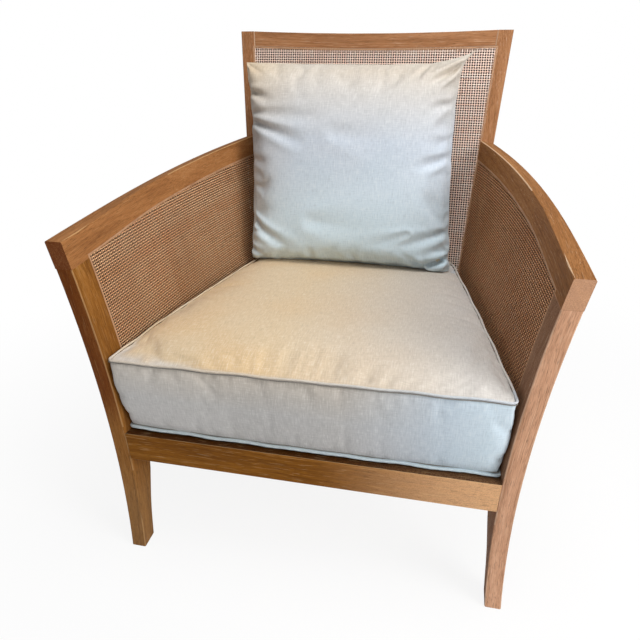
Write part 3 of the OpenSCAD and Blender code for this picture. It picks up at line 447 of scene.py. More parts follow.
# Caning: plain-woven sheets of split cane, one on each face of the arms and of the back.
# Each sheet is soaked, pressed into its rebate and held there by a glued reed bead.
def woven_cane():
    """Cane strands over and under each other, laid on a sheet that rays from a flat grid fall upon."""
    tree = bpy.data.node_groups.new("woven_cane", "GeometryNodeTree")
    socket = tree.interface.new_socket
    socket("Sheet", in_out="INPUT", socket_type="NodeSocketGeometry")
    for label, kind in (("Middle", "Vector"), ("Across", "Vector"), ("Up", "Vector"), ("Toward", "Vector"),
                        ("Columns", "Int"), ("Rows", "Int"), ("Column pitch", "Float"), ("Row pitch", "Float"),
                        ("Strand width", "Float"), ("Strand thickness", "Float"), ("Sink", "Float"),
                        ("Seed", "Int"), ("Finish", "Material")):
        socket(label, in_out="INPUT", socket_type="NodeSocket" + kind)
    socket("Caning", in_out="OUTPUT", socket_type="NodeSocketGeometry")

    def node(kind, settings=None, sockets=None, output=0):
        made = tree.nodes.new(kind)
        for key, value in (settings or {}).items():
            setattr(made, key, value)
        for key, value in (sockets or {}).items():
            if isinstance(value, bpy.types.NodeSocket):
                tree.links.new(value, made.inputs[key])
            else:
                made.inputs[key].default_value = value
        return made.outputs if output is None else made.outputs[output]

    given = tree.nodes.new("NodeGroupInput").outputs

    def maths(operation, first, second=0.0):
        return node("ShaderNodeMath", {"operation": operation}, {0: first, 1: second})

    def vector(operation, first, second):
        return node("ShaderNodeVectorMath", {"operation": operation}, {0: first, 1: second})

    def scaled(first, factor):
        return node("ShaderNodeVectorMath", {"operation": "SCALE"}, {0: first, 3: factor})

    def named(label, kind="FLOAT"):
        return node("GeometryNodeInputNamedAttribute", {"data_type": kind}, {0: label})

    def keep(geometry, label, value, kind="FLOAT", domain="POINT"):
        return node("GeometryNodeStoreNamedAttribute", {"data_type": kind, "domain": domain}, {
            "Geometry": geometry, "Name": label, "Value": value})

    def moved(geometry, offset, chosen=True):
        return node("GeometryNodeSetPosition", {}, {0: geometry, 1: chosen, "Offset": offset})

    # A flat grid of crossings: each point knows its column and row, each edge whether it runs along a row
    wide = maths("MULTIPLY", maths("SUBTRACT", given["Columns"], 1), given["Column pitch"])
    high = maths("MULTIPLY", maths("SUBTRACT", given["Rows"], 1), given["Row pitch"])
    body = node("GeometryNodeMeshGrid", {}, {
        "Size X": wide, "Size Y": high, "Vertices X": given["Columns"], "Vertices Y": given["Rows"]})
    spot = node("ShaderNodeSeparateXYZ", {}, {0: node("GeometryNodeInputPosition")}, None)
    column, row = (maths("ROUND", maths("DIVIDE", maths("ADD", spot[axis], maths("MULTIPLY", span, 0.5)),
                                        given[pitch]))
                   for axis, span, pitch in ((0, wide, "Column pitch"), (1, high, "Row pitch")))
    parity = maths("SUBTRACT", 1.0, maths("MULTIPLY", 2.0, maths("MODULO", maths("ADD", column, row), 2.0)))
    ends = node("GeometryNodeInputMeshEdgeVertices", output=None)
    run = node("ShaderNodeSeparateXYZ", {}, {0: vector("SUBTRACT", ends[2], ends[3])}, None)
    is_row = maths("GREATER_THAN", maths("ABSOLUTE", run[0]), maths("ABSOLUTE", run[1]))
    for label, value in (("column", column), ("row", row), ("parity", parity)):
        body = keep(body, label, value)
    body = keep(body, "is_row", is_row, domain="EDGE")

    # Each point falls on the sheet; the points that miss it are dropped
    start = vector("ADD", given["Middle"], vector("ADD", scaled(given["Across"], spot[0]),
                                                  scaled(given["Up"], spot[1])))
    ray = node("GeometryNodeRaycast", {}, {"Target Geometry": given["Sheet"], "Source Position": start,
                                           "Ray Direction": given["Toward"], "Ray Length": 2.0}, None)
    body = keep(body, "hit", ray["Is Hit"])
    body = keep(body, "out", ray["Hit Normal"], "FLOAT_VECTOR")
    body = keep(body, "place", ray["Hit Position"], "FLOAT_VECTOR")
    body = node("GeometryNodeDeleteGeometry", {"domain": "POINT"}, {
        0: body, 1: maths("LESS_THAN", named("hit"), 0.5)})
    out = named("out", "FLOAT_VECTOR")
    body = node("GeometryNodeSetPosition", {}, {0: body, "Position": vector(
        "ADD", named("place", "FLOAT_VECTOR"), scaled(out, maths("MULTIPLY", given["Sink"], -1.0)))})

    # The rows and then the columns become flat strands, which pass over and under by turns
    joined = tree.nodes.new("GeometryNodeJoinGeometry")
    tangent, under_bead = node("GeometryNodeInputTangent"), 0.0028
    for test, half, lengthwise, line, step in (("GREATER_THAN", 0.5, 1.0, "row", 577.0),
                                               ("LESS_THAN", -0.5, 0.0, "column", 911.0)):
        strand = node("GeometryNodeMeshToCurve", {}, {0: body, 1: maths(test, named("is_row"), 0.5)})
        over = maths("MULTIPLY", named("parity"), half)
        strand = moved(strand, scaled(out, maths("MULTIPLY", over, given["Strand thickness"])))
        strand = keep(strand, "raised", maths("ADD", maths("MULTIPLY", named("parity"), half), 0.5))
        strand = keep(strand, "lengthwise", maths("ADD", lengthwise))
        for first, last, way in ((1, 0, -under_bead), (0, 1, under_bead)):
            tip = node("GeometryNodeCurveEndpointSelection", {}, {0: first, 1: last})
            strand = moved(strand, scaled(tangent, way), tip)
        strand = keep(strand, "strand", maths("ADD", named(line), maths("MULTIPLY", given["Seed"], step)))
        strand = keep(strand, "run", node("GeometryNodeSplineParameter", output=1))
        strand = node("GeometryNodeSetCurveNormal", {"mode": "FREE"}, {0: strand, "Normal": out})
        flat = node("GeometryNodeCurvePrimitiveQuadrilateral", {}, {
            "Width": given["Strand thickness"], "Height": given["Strand width"]})
        tree.links.new(node("GeometryNodeCurveToMesh", {}, {0: strand, 1: flat}), joined.inputs[0])
    real = node("GeometryNodeRealizeInstances", {}, {0: joined.outputs[0]})
    done = node("GeometryNodeSetMaterial", {}, {0: real, "Material": given["Finish"]})
    tree.links.new(done, tree.nodes.new("NodeGroupOutput").inputs[0])
    return tree


def split_cane(name, deep, pale, under_shade=0.55, cross=0.0):
    """Satin cane skin, each strand its own tone, with darker knots and painted shade where it passes under;
    its pith side is dull, and it and the strands' edges are a near-black brown: painted shade.
    """
    finish = Finish(name)
    strand, run = finish.stored("strand"), finish.stored("run")
    tone = finish.node("TexWhiteNoise", {"noise_dimensions": "1D"}, {"W": strand})
    along = finish.noise(finish.node("CombineXYZ", {}, {0: run * 55, 1: strand * 7.31, 2: 0.0}), 1.0, 2.0, 0.5)
    knots = finish.step(finish.noise(finish.node("CombineXYZ", {}, {0: run * 16, 1: strand * 3.17, 2: 4.0}), 1.0,
                                     1.0, 0.5), 0.64, 0.74)
    place = finish.place()
    cloud = finish.noise(place, 7.0, 2.0, 0.5)
    base = finish.blend(tone * 0.55 + along * 0.45, deep, pale)
    strand_tone = finish.blend(finish.step(cloud, 0.4, 0.7) * 0.3, base, tuple(c * 0.6 for c in deep))
    # Painted shade where a strand passes under another.
    strand_tone = finish.blend(finish.step(finish.stored("raised"), 0.75, 0.25) * under_shade, strand_tone,
                        tuple(c * 0.10 for c in deep))
    strand_tone = finish.blend((1 - finish.stored("lengthwise")) * cross, strand_tone, tuple(c * 0.16 for c in deep))
    # Painted shade: the pith side and the strands' edges near black, for the dark space between the two sheets.
    skin = finish.step(finish.facing(finish.stored("out", "Vector")), 0.30, 0.85)
    colour = finish.blend(skin, (0.022, 0.005, 0.001), finish.blend(knots * 0.45, strand_tone, (0.22, 0.10, 0.045)))
    fine = finish.streaks(place, (1300, 1300, 1300), 1.0)
    return finish.surface(colour, 0.85 - skin * 0.42 + along * 0.1, finish.bump(0.15, 0.0003, fine),
                          Specular_IOR_Level=0.25)


cane_tree = woven_cane()
pink_cane = split_cane("pink_cane", (1.00, 0.620, 0.460), (1.00, 0.930, 0.850))
tan_cane = split_cane("tan_cane", (0.86, 0.370, 0.150), (1.00, 0.690, 0.420), 0.88, 0.30)
outer_cane = split_cane("outer_cane", (0.66, 0.400, 0.215), (0.88, 0.640, 0.420), 0.45)
brown_cane = split_cane("brown_cane", (0.86, 0.330, 0.125), (1.00, 0.600, 0.330), 0.88, 0.25)


def cane_panel(name, finish, seed, **sizes):
    """Lays the weave on one CAD sheet, which it then stands for."""
    sheet = bpy.data.meshes.new(name)
    shape = cad_shape(name)
    shape.to_mesh(sheet)
    shape.free()
    host = placed(name + "_host", sheet)
    weave = host.modifiers.new("weave", "NODES")
    weave.node_group = cane_tree
    values = {"Strand thickness": 0.00055, "Sink": 0.0005, "Seed": seed, "Finish": finish,
              **{k.replace("_", " "): v for k, v in sizes.items()}}
    for item in cane_tree.interface.items_tree:
        if item.in_out == "INPUT" and item.name in values:
            weave[item.identifier] = values[item.name]
    host.update_tag()
    graph = bpy.context.evaluated_depsgraph_get()
    mesh = bpy.data.meshes.new_from_object(host.evaluated_get(graph), preserve_all_data_layers=True,
                                           depsgraph=graph)
    bpy.data.objects.remove(host)
    for label in ("column", "row", "parity", "is_row", "hit", "place"):
        if label in mesh.attributes:
            mesh.attributes.remove(mesh.attributes[label])
    piece = placed(name + "_weave", mesh)
    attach(piece, "frame")
    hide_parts(name)


back_lean, seat_pitch = math.radians(15), math.radians(3)
column_pitch, row_pitch, back_pitch = 0.0042, 0.0045, 0.005
for number, (name, side, inner_cane) in enumerate((("left", -1, tan_cane), ("right", 1, brown_cane))):
    for layer, (face, middle_x, toward, strand_width, finish) in enumerate((
            ("inner", 0.0, 1, 0.0017, inner_cane), ("outer", 0.6, -1, 0.0041, outer_cane))):
        low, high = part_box(f"arm_cane_{face}_{name}")
        cane_panel(f"arm_cane_{face}_{name}", finish, 1 + number * 2 + layer, Strand_width=strand_width,
                   Middle=(side * middle_x, (low.y + high.y) / 2, (low.z + high.z) / 2),
                   Across=(0, 1, 0), Up=(0, 0, 1), Toward=(side * toward, 0, 0),
                   Columns=int((high.y - low.y) / column_pitch) + 3, Column_pitch=column_pitch,
                   Rows=int((high.z - low.z) / row_pitch) + 3, Row_pitch=row_pitch)
back_up = Vector((0, math.sin(back_lean), math.cos(back_lean)))
back_in = Vector((0, math.cos(back_lean), -math.sin(back_lean)))
for face, toward, strand_width in (("front", 1, 0.0019), ("rear", -1, 0.0048)):
    low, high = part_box(f"back_cane_{face}")
    cane_panel(f"back_cane_{face}", pink_cane, 6 + toward, Strand_width=strand_width,
               Middle=tuple((low + high) / 2 - back_in * toward * 0.2), Across=(1, 0, 0), Up=tuple(back_up),
               Toward=tuple(back_in * toward), Columns=int((high.x - low.x) / back_pitch) + 3,
               Rows=int((high.z - low.z) / back_pitch / math.cos(back_lean)) + 5,
               Column_pitch=back_pitch, Row_pitch=back_pitch)


# Reed beads: pale half-round reed pressed and glued over each sheet's edge in its groove.
# Left unstained, so it draws a light line inside every caned opening.
def reed():
    finish = Finish("reed")
    place = finish.place()
    streak = finish.streaks(place, (700, 60, 700), 2.0, 0.55)
    blotch = finish.noise(place, 38, 2.0, 0.5)
    base = finish.blend(streak, (0.30, 0.135, 0.058), (0.56, 0.335, 0.190))
    colour = finish.blend(finish.step(blotch, 0.50, 0.72) * 0.45, base, (0.24, 0.095, 0.034))
    return finish.surface(colour, 0.50 + streak * 0.14, finish.bump(0.25, 0.0003, streak))


dress([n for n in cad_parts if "bead" in n], reed())


# Foot glides: dark moulded discs, each nailed into the end of a leg.
# Their grit shows only from close by.
dress(["foot_glides"], flecked("glide_plastic", (900, 900, 900), 2.0, (0.020, 0.018, 0.017),
                               (0.060, 0.055, 0.050), 0.42, 0.25, 0.6, 0.2))


# Seat cushion: a boxed foam and feather cushion in pale linen, with a band round its sides and piping
# sewn into both seams. It lies loose on the slats, with its front corners between the arms.
def linen():
    """Slubby plain-woven linen. The weave attribute carries metres along weft and warp.
    Its warm and cool tones are painted light; it is paler where light is painted on it and darker where shade
    is.
    """
    finish = Finish("linen")
    weave = finish.node("UVMap", {"uv_map": "weave"}, {})
    warm = finish.stored("warmth")
    thread_pitch = 0.00085
    weft, warp = (part / thread_pitch for part in finish.parts(weave)[:2])
    over = finish.node("Math", {"operation": "MODULO"}, {0: (weft.whole() + warp.whole()).size(), 1: 2.0})
    ridge_a = (weft * math.pi).sine().size()
    ridge_b = (warp * math.pi).sine().size()
    thread = ridge_a * over + ridge_b * (1 - over)
    slub_a = finish.streaks(weave, (1350, 30, 1), 2.0, 0.6)
    slub_b = finish.streaks(weave, (30, 1350, 1), 2.0, 0.6)
    streak_a = finish.streaks(weave, (470, 70, 1), 2.0, 0.6)
    streak_b = finish.streaks(weave, (70, 470, 1), 2.0, 0.6)
    cloud = finish.noise(finish.place(), 5.0, 2.0, 0.5)
    # Cool and warm tones of the one linen: painted cool light at the right and on the band, painted warm light
    # on the tops.
    cool_lit_linen = finish.blend(finish.step(cloud, 0.35, 0.65), (0.500, 0.580, 0.665), (0.550, 0.610, 0.690))
    warm_lit_linen = finish.blend(finish.step(cloud, 0.35, 0.65), (0.700, 0.500, 0.275), (0.690, 0.530, 0.330))
    faded = finish.stored("faded")
    base = finish.blend(warm, cool_lit_linen, warm_lit_linen)
    # Painted light makes the linen paler and bluer; painted shade makes it up to half as dark.
    base = finish.blend(finish.step(faded, 0.0, 1.0) * 0.60, base, (0.72, 0.92, 1.00))
    base = finish.blend(finish.step(faded, 0.0, -1.0), base, finish.blend(0.5, base, (0.0, 0.0, 0.0)))
    mixed = slub_a * 0.30 + slub_b * 0.25 + streak_a * 0.45 + streak_b * 0.30
    pale = finish.blend(finish.step(mixed, 0.63, 0.84) * 0.55, base, finish.blend(0.6, base, (0.95, 0.95, 0.92)))
    dark = finish.blend(finish.step(mixed, 0.67, 0.46) * 0.34, pale, finish.blend(0.7, base, (0.16, 0.17, 0.17)))
    colour = finish.blend((1 - thread) * 0.16, dark, finish.blend(0.5, base, (0.16, 0.17, 0.17)))
    bump = finish.bump(0.5, 0.00035, thread * 0.6 + slub_a * 0.5 + slub_b * 0.5 + streak_a * 0.6)
    return finish.surface(colour, 0.86 + thread * 0.08, bump, Sheen_Weight=0.18, Sheen_Roughness=0.5)


linen_finish = linen()
half_depth, overall_h, seat_h, post_w_top = 0.360, 0.857, 0.272, 0.030
front_y, back_top_y = -half_depth, half_depth - post_w_top * math.cos(back_lean)


def back_y(z):
    """Where the front of the reclined back stands, at a height."""
    return back_top_y - (overall_h - z) * math.tan(back_lean)


def seat_z(y):
    """How high the top of the slats is, at a depth."""
    return seat_h - math.tan(seat_pitch) * (y - front_y)


rear_joint_z = 0.252
seat_rear_z = seat_z(back_y(rear_joint_z))
deck_gap, rear_gap, cushion_h, cushion_crown, corner_radius = 0.0005, 0.004, 0.148, 0.015, 0.011
cushion_rear_y = back_y(seat_rear_z + cushion_h) - rear_gap


def ease(t):
    t = min(1.0, max(0.0, t))
    return t * t * (3 - 2 * t)


def soft_outline(corners, radius, bows, corner_steps, side_steps):
    """A four-sided outline with rounded corners, each side bowed by its own amount."""
    points = []
    for k in range(4):
        p, after, before = corners[k], corners[(k + 1) % 4], corners[(k + 3) % 4]
        way = (after - p).normalized()
        a, b, e = p + radius * (before - p).normalized(), p + radius * way, after - radius * way
        side = Vector((way.y, -way.x))
        for i in range(corner_steps):
            t = i / (corner_steps - 1)
            points.append((1 - t) ** 2 * a + 2 * t * (1 - t) * p + t * t * b)
        for i in range(1, side_steps):
            t = i / side_steps
            points.append(b.lerp(e, t) + side * bows[k] * 4 * t * (1 - t))
    return points


def cushion_ring(inset, height, corner_steps=7, side_steps=60):
    """The cushion's outline at a height over the deck, set in from the top seam; metres."""
    up = min(1.0, max(0.0, height / cushion_h))
    tuck = 0.011 * (1 - up) ** 1.6 + inset
    half_rear = 0.214 - tuck
    y_front = front_y + 0.019 * (1 - up) ** 3 + inset
    y_rear = back_y(seat_rear_z + min(height, cushion_h)) - rear_gap - inset
    puff = 0.004 * math.sin(math.pi * up)
    slack = max(0.0, 1 - inset / 0.060)
    side = 0.004 * up - 0.001 + puff / 2
    left_half, right_half = 0.3145 - tuck, 0.3110 - 0.65 * tuck
    corners = [Vector(c) for c in ((-left_half, y_front), (right_half, y_front), (half_rear, y_rear),
                                   (-half_rear, y_rear))]
    ring = []
    bows = [slack * b for b in (0.002 + puff, side, 0, side)]
    for p in soft_outline(corners, corner_radius, bows, corner_steps, side_steps):
        sink = 1 - 0.65 * ease((p.y - cushion_rear_y + 0.170) / 0.106)
        sag = 0.0045 * up * ease((-0.20 - p.y) / 0.14) * max(0.0, min(1.0, 0.4 - p.x / 0.45))
        crown = max(0, height - cushion_h) * sink
        ring.append((p.x, p.y, seat_z(p.y) + deck_gap + min(height, cushion_h) + crown - sag))
    return ring


def closed_rings(name, rings):
    """A closed skin through rings of as many points, with a fan at each end."""
    count = len(rings[0])
    points = [p for ring in rings for p in ring]
    faces = [(i * count + j, i * count + (j + 1) % count, (i + 1) * count + (j + 1) % count, (i + 1) * count + j)
             for i in range(len(rings) - 1) for j in range(count)]
    for ring, turn in ((0, 1), (len(rings) - 1, 0)):
        middle = len(points)
        points.append(tuple(np.mean(rings[ring], axis=0)))
        for j in range(count):
            a, b = ring * count + j, ring * count + (j + 1) % count
            faces.append((middle, b, a) if turn else (middle, a, b))
    return mesh_of(name, points, faces)


def normals_of(mesh):
    out = np.zeros(len(mesh.vertices) * 3)
    mesh.vertex_normals.foreach_get("vector", out)
    return out.reshape(-1, 3)


def plump(piece, held, pressure, slack, most_out, most_in, frames=20):
    """Blows a cover up as cloth over its filling, held at its seams, and keeps each point near its place."""
    group = piece.vertex_groups.new(name="seams")
    for index, weight in enumerate(held):
        if weight > 0:
            group.add([index], float(weight), "REPLACE")
    before, facing = corners_of(piece.data), normals_of(piece.data)
    cloth = piece.modifiers.new("cover", "CLOTH")
    rules = cloth.settings
    rules.quality = 6
    rules.mass = 0.25
    rules.tension_stiffness = rules.compression_stiffness = 14
    rules.shear_stiffness = 4
    rules.bending_stiffness = 0.25
    rules.use_pressure = True
    rules.uniform_pressure_force = pressure
    rules.shrink_min = rules.shrink_max = -slack
    rules.vertex_group_mass = "seams"
    rules.effector_weights.gravity = 0
    cloth.collision_settings.use_collision = False
    cloth.collision_settings.use_self_collision = False
    cloth.point_cache.frame_start, cloth.point_cache.frame_end = 1, frames
    scene = bpy.context.scene
    for number in range(1, frames + 1):
        scene.frame_set(number)
    graph = bpy.context.evaluated_depsgraph_get()
    after = corners_of(piece.evaluated_get(graph).data)
    piece.modifiers.remove(cloth)
    scene.frame_set(1)
    move = after - before
    out = (move * facing).sum(1, keepdims=True)
    side = move - out * facing
    out = np.where(out > 0, most_out * np.tanh(out / most_out), -most_in * np.tanh(-out / most_in))
    reach = np.linalg.norm(side, axis=1, keepdims=True)
    most_aside = 0.004
    side *= np.minimum(1, most_aside / np.maximum(reach, 1e-9))
    piece.data.vertices.foreach_set("co", (before + side + out * facing).ravel())
    piece.vertex_groups.clear()


def settle(piece):
    """Turns what the modifiers make of a piece into its mesh."""
    graph = bpy.context.evaluated_depsgraph_get()
    piece.data = bpy.data.meshes.new_from_object(piece.evaluated_get(graph), depsgraph=graph)
    piece.modifiers.clear()


def subdivide(piece):
    smooth = piece.modifiers.new("smooth", "SUBSURF")
    smooth.levels = smooth.render_levels = 1
    settle(piece)


def over_deck(co):
    return co[:, 2] - (np.array([seat_z(y) for y in co[:, 1]]) + deck_gap)


# Each step: how far in from the top seam, and how high over the slats
cushion_steps = [(0.110, 0.0), (0.040, 0.0), (0.012, 0.0004), (0.003, 0.0016), (-0.0006, 0.006), (0.0004, 0.014),
                 (0.0006, 0.030), (0.0, 0.052), (-0.0004, 0.076), (-0.0004, 0.100), (0.0, 0.122),
                 (0.0004, 0.136), (-0.0002, 0.1450), (0.0030, 0.1492), (0.010, 0.1508), (0.022, 0.1534),
                 (0.040, 0.1570), (0.065, 0.1598), (0.095, 0.1616), (0.130, 0.1626), (0.170, 0.1630)]
cushion_mesh = closed_rings("seat_cushion_linen", [cushion_ring(*step) for step in cushion_steps])
cushion = placed("seat_cushion_linen", cushion_mesh)
remesh = cushion.modifiers.new("even_mesh", "REMESH")
remesh.mode = "VOXEL"
remesh.voxel_size = 0.0065
settle(cushion)
height = over_deck(corners_of(cushion.data))
facing = normals_of(cushion.data)
seam_line = np.abs(height - cushion_h) + np.where(np.abs(facing[:, 2]) > 0.93, 1.0, 0.0)
held = np.maximum(np.where(height < 0.012, 1.0, 0.0), np.where(seam_line < 0.0045, 0.9, 0.0))
top_part = np.clip((facing[:, 2] - 0.3) / 0.5, 0, 1)
side_part = np.clip(np.abs(facing[:, 0]) * 1.2 - 0.2, 0, 1)
most_out = (0.003 + 0.004 * top_part - 0.0018 * side_part)[:, None]
plump(cushion, held, 3.2, 0.035, most_out, 0.004)
subdivide(cushion)


def loop_points(mesh):
    """The point that each corner of each face stands on."""
    points = np.zeros(len(mesh.loops), int)
    mesh.loops.foreach_get("vertex_index", points)
    return points


def lay_linen(piece, panels, warmth, faded):
    """Cuts the cloth: each face takes its weave from its panel's two directions, in metres."""
    mesh = piece.data
    mesh.shade_smooth()
    co = corners_of(mesh)
    normal = np.zeros(len(mesh.polygons) * 3)
    mesh.polygons.foreach_get("normal", normal)
    normal = normal.reshape(-1, 3)
    sizes = np.zeros(len(mesh.polygons), int)
    mesh.polygons.foreach_get("loop_total", sizes)
    loop_face = np.repeat(np.arange(len(sizes)), sizes)
    uv = panels(co[loop_points(mesh)], normal[loop_face])
    mesh.uv_layers.new(name="weave").data.foreach_set("uv", uv.ravel())
    store(mesh, "warmth", warmth(co, normals_of(mesh)))
    store(mesh, "faded", faded(co))
    mesh.materials.clear()
    mesh.materials.append(linen_finish)


def boxed_panels(co, normal):
    """The box's cloth: flat panels above and below, and a band that runs round the sides."""
    flat = np.abs(normal[:, 2]) > 0.55
    ways = np.abs(normal[:, 0]) > np.abs(normal[:, 1])
    along = np.where(ways, co[:, 1] * 1.02, co[:, 0])
    uv = np.stack([along, co[:, 2]], axis=1)
    uv[flat] = co[flat][:, :2]
    return uv + np.where(flat, 3.1, 0.0)[:, None]


def cushion_top_share(co):
    return np.clip((over_deck(co) - cushion_h + 0.0045) / 0.004, 0, 1)


# Painted warm light: all over the cushion's top, less of it towards the right; on the band, warmer higher up and
# to the left, cooler towards the right.
def cushion_painted_warm_light(co, out):
    top = cushion_top_share(co)
    band = (0.34 + 0.20 * np.clip(over_deck(co) / 0.060 - 1.4, 0, 1)) * np.clip((0.22 - co[:, 0]) / 0.16, 0, 1)
    return top * painted_warm_light_across(co[:, 0]) + (1 - top) * band


# Painted warm light that lessens towards the right, the window side.
def painted_warm_light_across(x):
    return np.clip(1.0 - 0.62 * (x + 0.06) / 0.32, 0.42, 1.0)


def cushion_painted_light_and_shade(co):
    """Painted light and shade on the band: paler and bluer at its right end, and painted shade in its middle."""
    paler = 0.6 * np.clip((co[:, 0] - 0.14) / 0.14, 0, 1)
    return (1 - cushion_top_share(co)) * (paler - 0.34 * np.exp(-((co[:, 0] - 0.01) / 0.15) ** 4))


lay_linen(cushion, boxed_panels, cushion_painted_warm_light, cushion_painted_light_and_shade)
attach(cushion, "seat_cushion")
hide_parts("seat_cushion_cover")


def face_out(mesh):
    """Turns every face of a closed mesh outwards."""
    shape = bmesh.new()
    shape.from_mesh(mesh)
    bmesh.ops.recalc_face_normals(shape, faces=shape.faces)
    shape.to_mesh(mesh)
    shape.free()


def piping(name, path, radius, warmth, sides=10, faded=0.0):
    """Cord covered with a bias strip of the linen, sewn into a seam along a closed path."""
    points, faces, strip, run = [], [], [], 0.0
    path = [Vector(p) for p in path]
    count = len(path)
    for i, p in enumerate(path):
        way = (path[(i + 1) % count] - path[i - 1]).normalized()
        flat = way.cross(Vector((0, 0, 1))).normalized()
        rise = flat.cross(way)
        run += (p - path[i - 1]).length if i else 0.0
        swell = radius * (1 + 0.05 * math.sin(run * 310) + 0.04 * math.sin(run * 127 + 1))
        after = (i + 1) % count
        for k in range(sides):
            turn, beside = 2 * math.pi * k / sides, (k + 1) % sides
            points.append(p + swell * (math.cos(turn) * flat + math.sin(turn) * rise))
            strip.append((run + 0.0032 * k, radius * turn - run * 0.6))
            faces.append((i * sides + k, i * sides + beside, after * sides + beside, after * sides + k))
    mesh = mesh_of(name, points, faces)
    face_out(mesh)
    mesh.shade_smooth()
    mesh.uv_layers.new(name="weave").data.foreach_set("uv", np.array(strip)[loop_points(mesh)].ravel())
    spots = np.array(points)
    # Painted warm light on the piping, less of it along the front.
    front_less_warm_light = np.where(spots[:, 1] < -0.33, 0.25, -0.1)
    store(mesh, "warmth", warmth * np.clip(painted_warm_light_across(spots[:, 0]) - front_less_warm_light, 0, 1))
    store(mesh, "faded", np.full(len(points), faded))
    mesh.materials.append(linen_finish)
    piece = placed(name, mesh)
    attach(piece, "seat_cushion")
    return piece


def welt_path(height, inset=0.0008):
    """The seam's line at a height, with the small waver of sewing."""
    return [(x + 0.0005 * math.sin(y * 60 + x * 47), y + 0.0005 * math.sin(x * 53),
             z + 0.0006 * math.sin(x * 71 + y * 64)) for x, y, z in cushion_ring(inset, height, 8, 150)]


piping("seat_cushion_upper_piping", welt_path(cushion_h), 0.0019, 0.85)
# The lower piping is made paler and bluer: painted light.
piping("seat_cushion_lower_piping", welt_path(0.0056, -0.0016), 0.0031, 0.55, faded=0.8)
# A thin dark cord along each seam, beside the piping: painted shadow in the seam's groove.
seam_shadow_finish = flecked("painted_seam_shadow", (900, 900, 900), 1.0, (0.13, 0.12, 0.105), (0.32, 0.30, 0.27), 0.7, 0.15)
for label, height, inset in (("upper", cushion_h - 0.0026, -0.0006), ("lower", 0.0108, 0.0)):
    line = piping(f"seat_cushion_{label}_seam_shadow_line", welt_path(height, inset), 0.0007, 0, 6)
    line.data.materials[0] = seam_shadow_finish

foam_steps = [(inset + 0.010, max(0.008, min(0.146, height))) for inset, height in cushion_steps]
foam_mesh = closed_rings("seat_cushion_foam", [cushion_ring(*step, 4, 16) for step in foam_steps])
foam_mesh.shade_smooth()


def crumb_foam():
    finish = Finish("foam")
    cells = finish.node("TexVoronoi", {}, {"Vector": finish.place(), "Scale": 700.0}, 0)
    return finish.surface(finish.blend(cells, (0.62, 0.56, 0.42), (0.82, 0.77, 0.62)), 0.9 + cells * 0.05)


foam_finish = crumb_foam()
foam_mesh.materials.append(foam_finish)
foam = placed("seat_cushion_foam", foam_mesh)
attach(foam, "seat_cushion")
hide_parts("seat_cushion_core")


# Back pillow: two squares of the same linen sewn face to face and turned, with a feather filling.
# It stands on the seat cushion and leans on the back; its upper right ear is pulled up by hand.
seam_t, pillow_w, pillow_h, pillow_t = 0.0016, 0.462, 0.418, 0.150
pillow_draw, pillow_shift, ear_pull = 0.014, 0.016, 0.022
cosl, sinl = math.cos(back_lean), math.sin(back_lean)
pillow_y = back_y(seat_rear_z + cushion_h + cushion_crown) - pillow_t / 2 / cosl
pillow_sink = 1 - 0.65 * ease((pillow_y - cushion_rear_y + 0.170) / 0.106)
pillow_foot_z = seat_z(pillow_y) + cushion_h + cushion_crown * pillow_sink - 0.0022
pillow_depth = 0.0009 - (pillow_t - seam_t) / 2
pillow_mid_w = (pillow_foot_z + pillow_depth * sinl) / cosl + pillow_h / 2
back_foot_y = back_y(0)

# Each fold runs from one point of the pillow's face to another: u and v from -1 to 1, depth and width in metres
pillow_folds = [
    (-1.00, 0.71, -0.72, 0.62, 0.0085, 0.034), (-1.00, 0.43, -0.38, 0.20, 0.0085, 0.040),
    (-1.00, 0.50, -0.20, 0.46, 0.0040, 0.040), (-1.00, -0.54, -0.52, -0.86, 0.0090, 0.038),
    (-1.00, -0.84, -0.78, -0.95, 0.0070, 0.030), (-1.00, 0.06, -0.80, 0.00, 0.0035, 0.034),
    (-1.00, -0.20, -0.82, -0.26, 0.0035, 0.030), (-1.00, -0.66, -0.80, -0.70, 0.0045, 0.026),
    (1.00, -0.84, 0.58, -1.00, 0.0150, 0.034), (1.00, -0.58, 0.40, -0.78, 0.0065, 0.044),
    (0.74, -1.00, 0.58, -0.86, 0.0080, 0.036), (0.60, -0.62, 0.20, -0.80, 0.0025, 0.040),
    (1.00, 0.14, 0.72, 0.02, 0.0060, 0.036), (1.00, 0.30, 0.84, 0.24, 0.0035, 0.030),
    (1.00, 0.92, 0.68, 0.76, 0.0120, 0.032), (1.00, 0.62, 0.78, 0.56, 0.0050, 0.032),
    (0.70, 1.00, 0.56, 0.82, 0.0050, 0.030), (-0.97, 0.98, -0.78, 0.84, 0.0040, 0.030),
    (-0.30, -0.55, 0.30, -0.62, 0.0022, 0.11), (-0.10, 0.32, 0.42, 0.26, 0.0020, 0.10),
    (0.10, -1.00, 0.04, -0.86, 0.0040, 0.034), (-0.32, -1.00, -0.36, -0.86, 0.0040, 0.032),
    (0.30, 1.00, 0.26, 0.88, 0.0030, 0.030), (-0.45, 1.00, -0.42, 0.88, 0.0030, 0.030),
]


def fold_depth(u, v, crisp):
    """How deep the folds press in at a point of the face; each fans out from the seam it starts at."""
    deep = 0.0
    for u0, v0, u1, v1, depth, width in pillow_folds:
        du, dv = u1 - u0, v1 - v0
        reach = max(0.0, min(1.0, ((u - u0) * du + (v - v0) * dv) / (du * du + dv * dv)))
        away = math.hypot(u - u0 - reach * du, v - v0 - reach * dv) / (width * (0.6 + 0.9 * reach))
        bed = math.exp(-1.7 * away) if crisp else math.exp(-away * away)
        deep += depth * (1 - reach) ** 0.8 * (bed - 0.45 * math.exp(-(away - 1.9) ** 2))
    return deep * min(1.0, 9 * (1 - u * u), 9 * (1 - v * v))


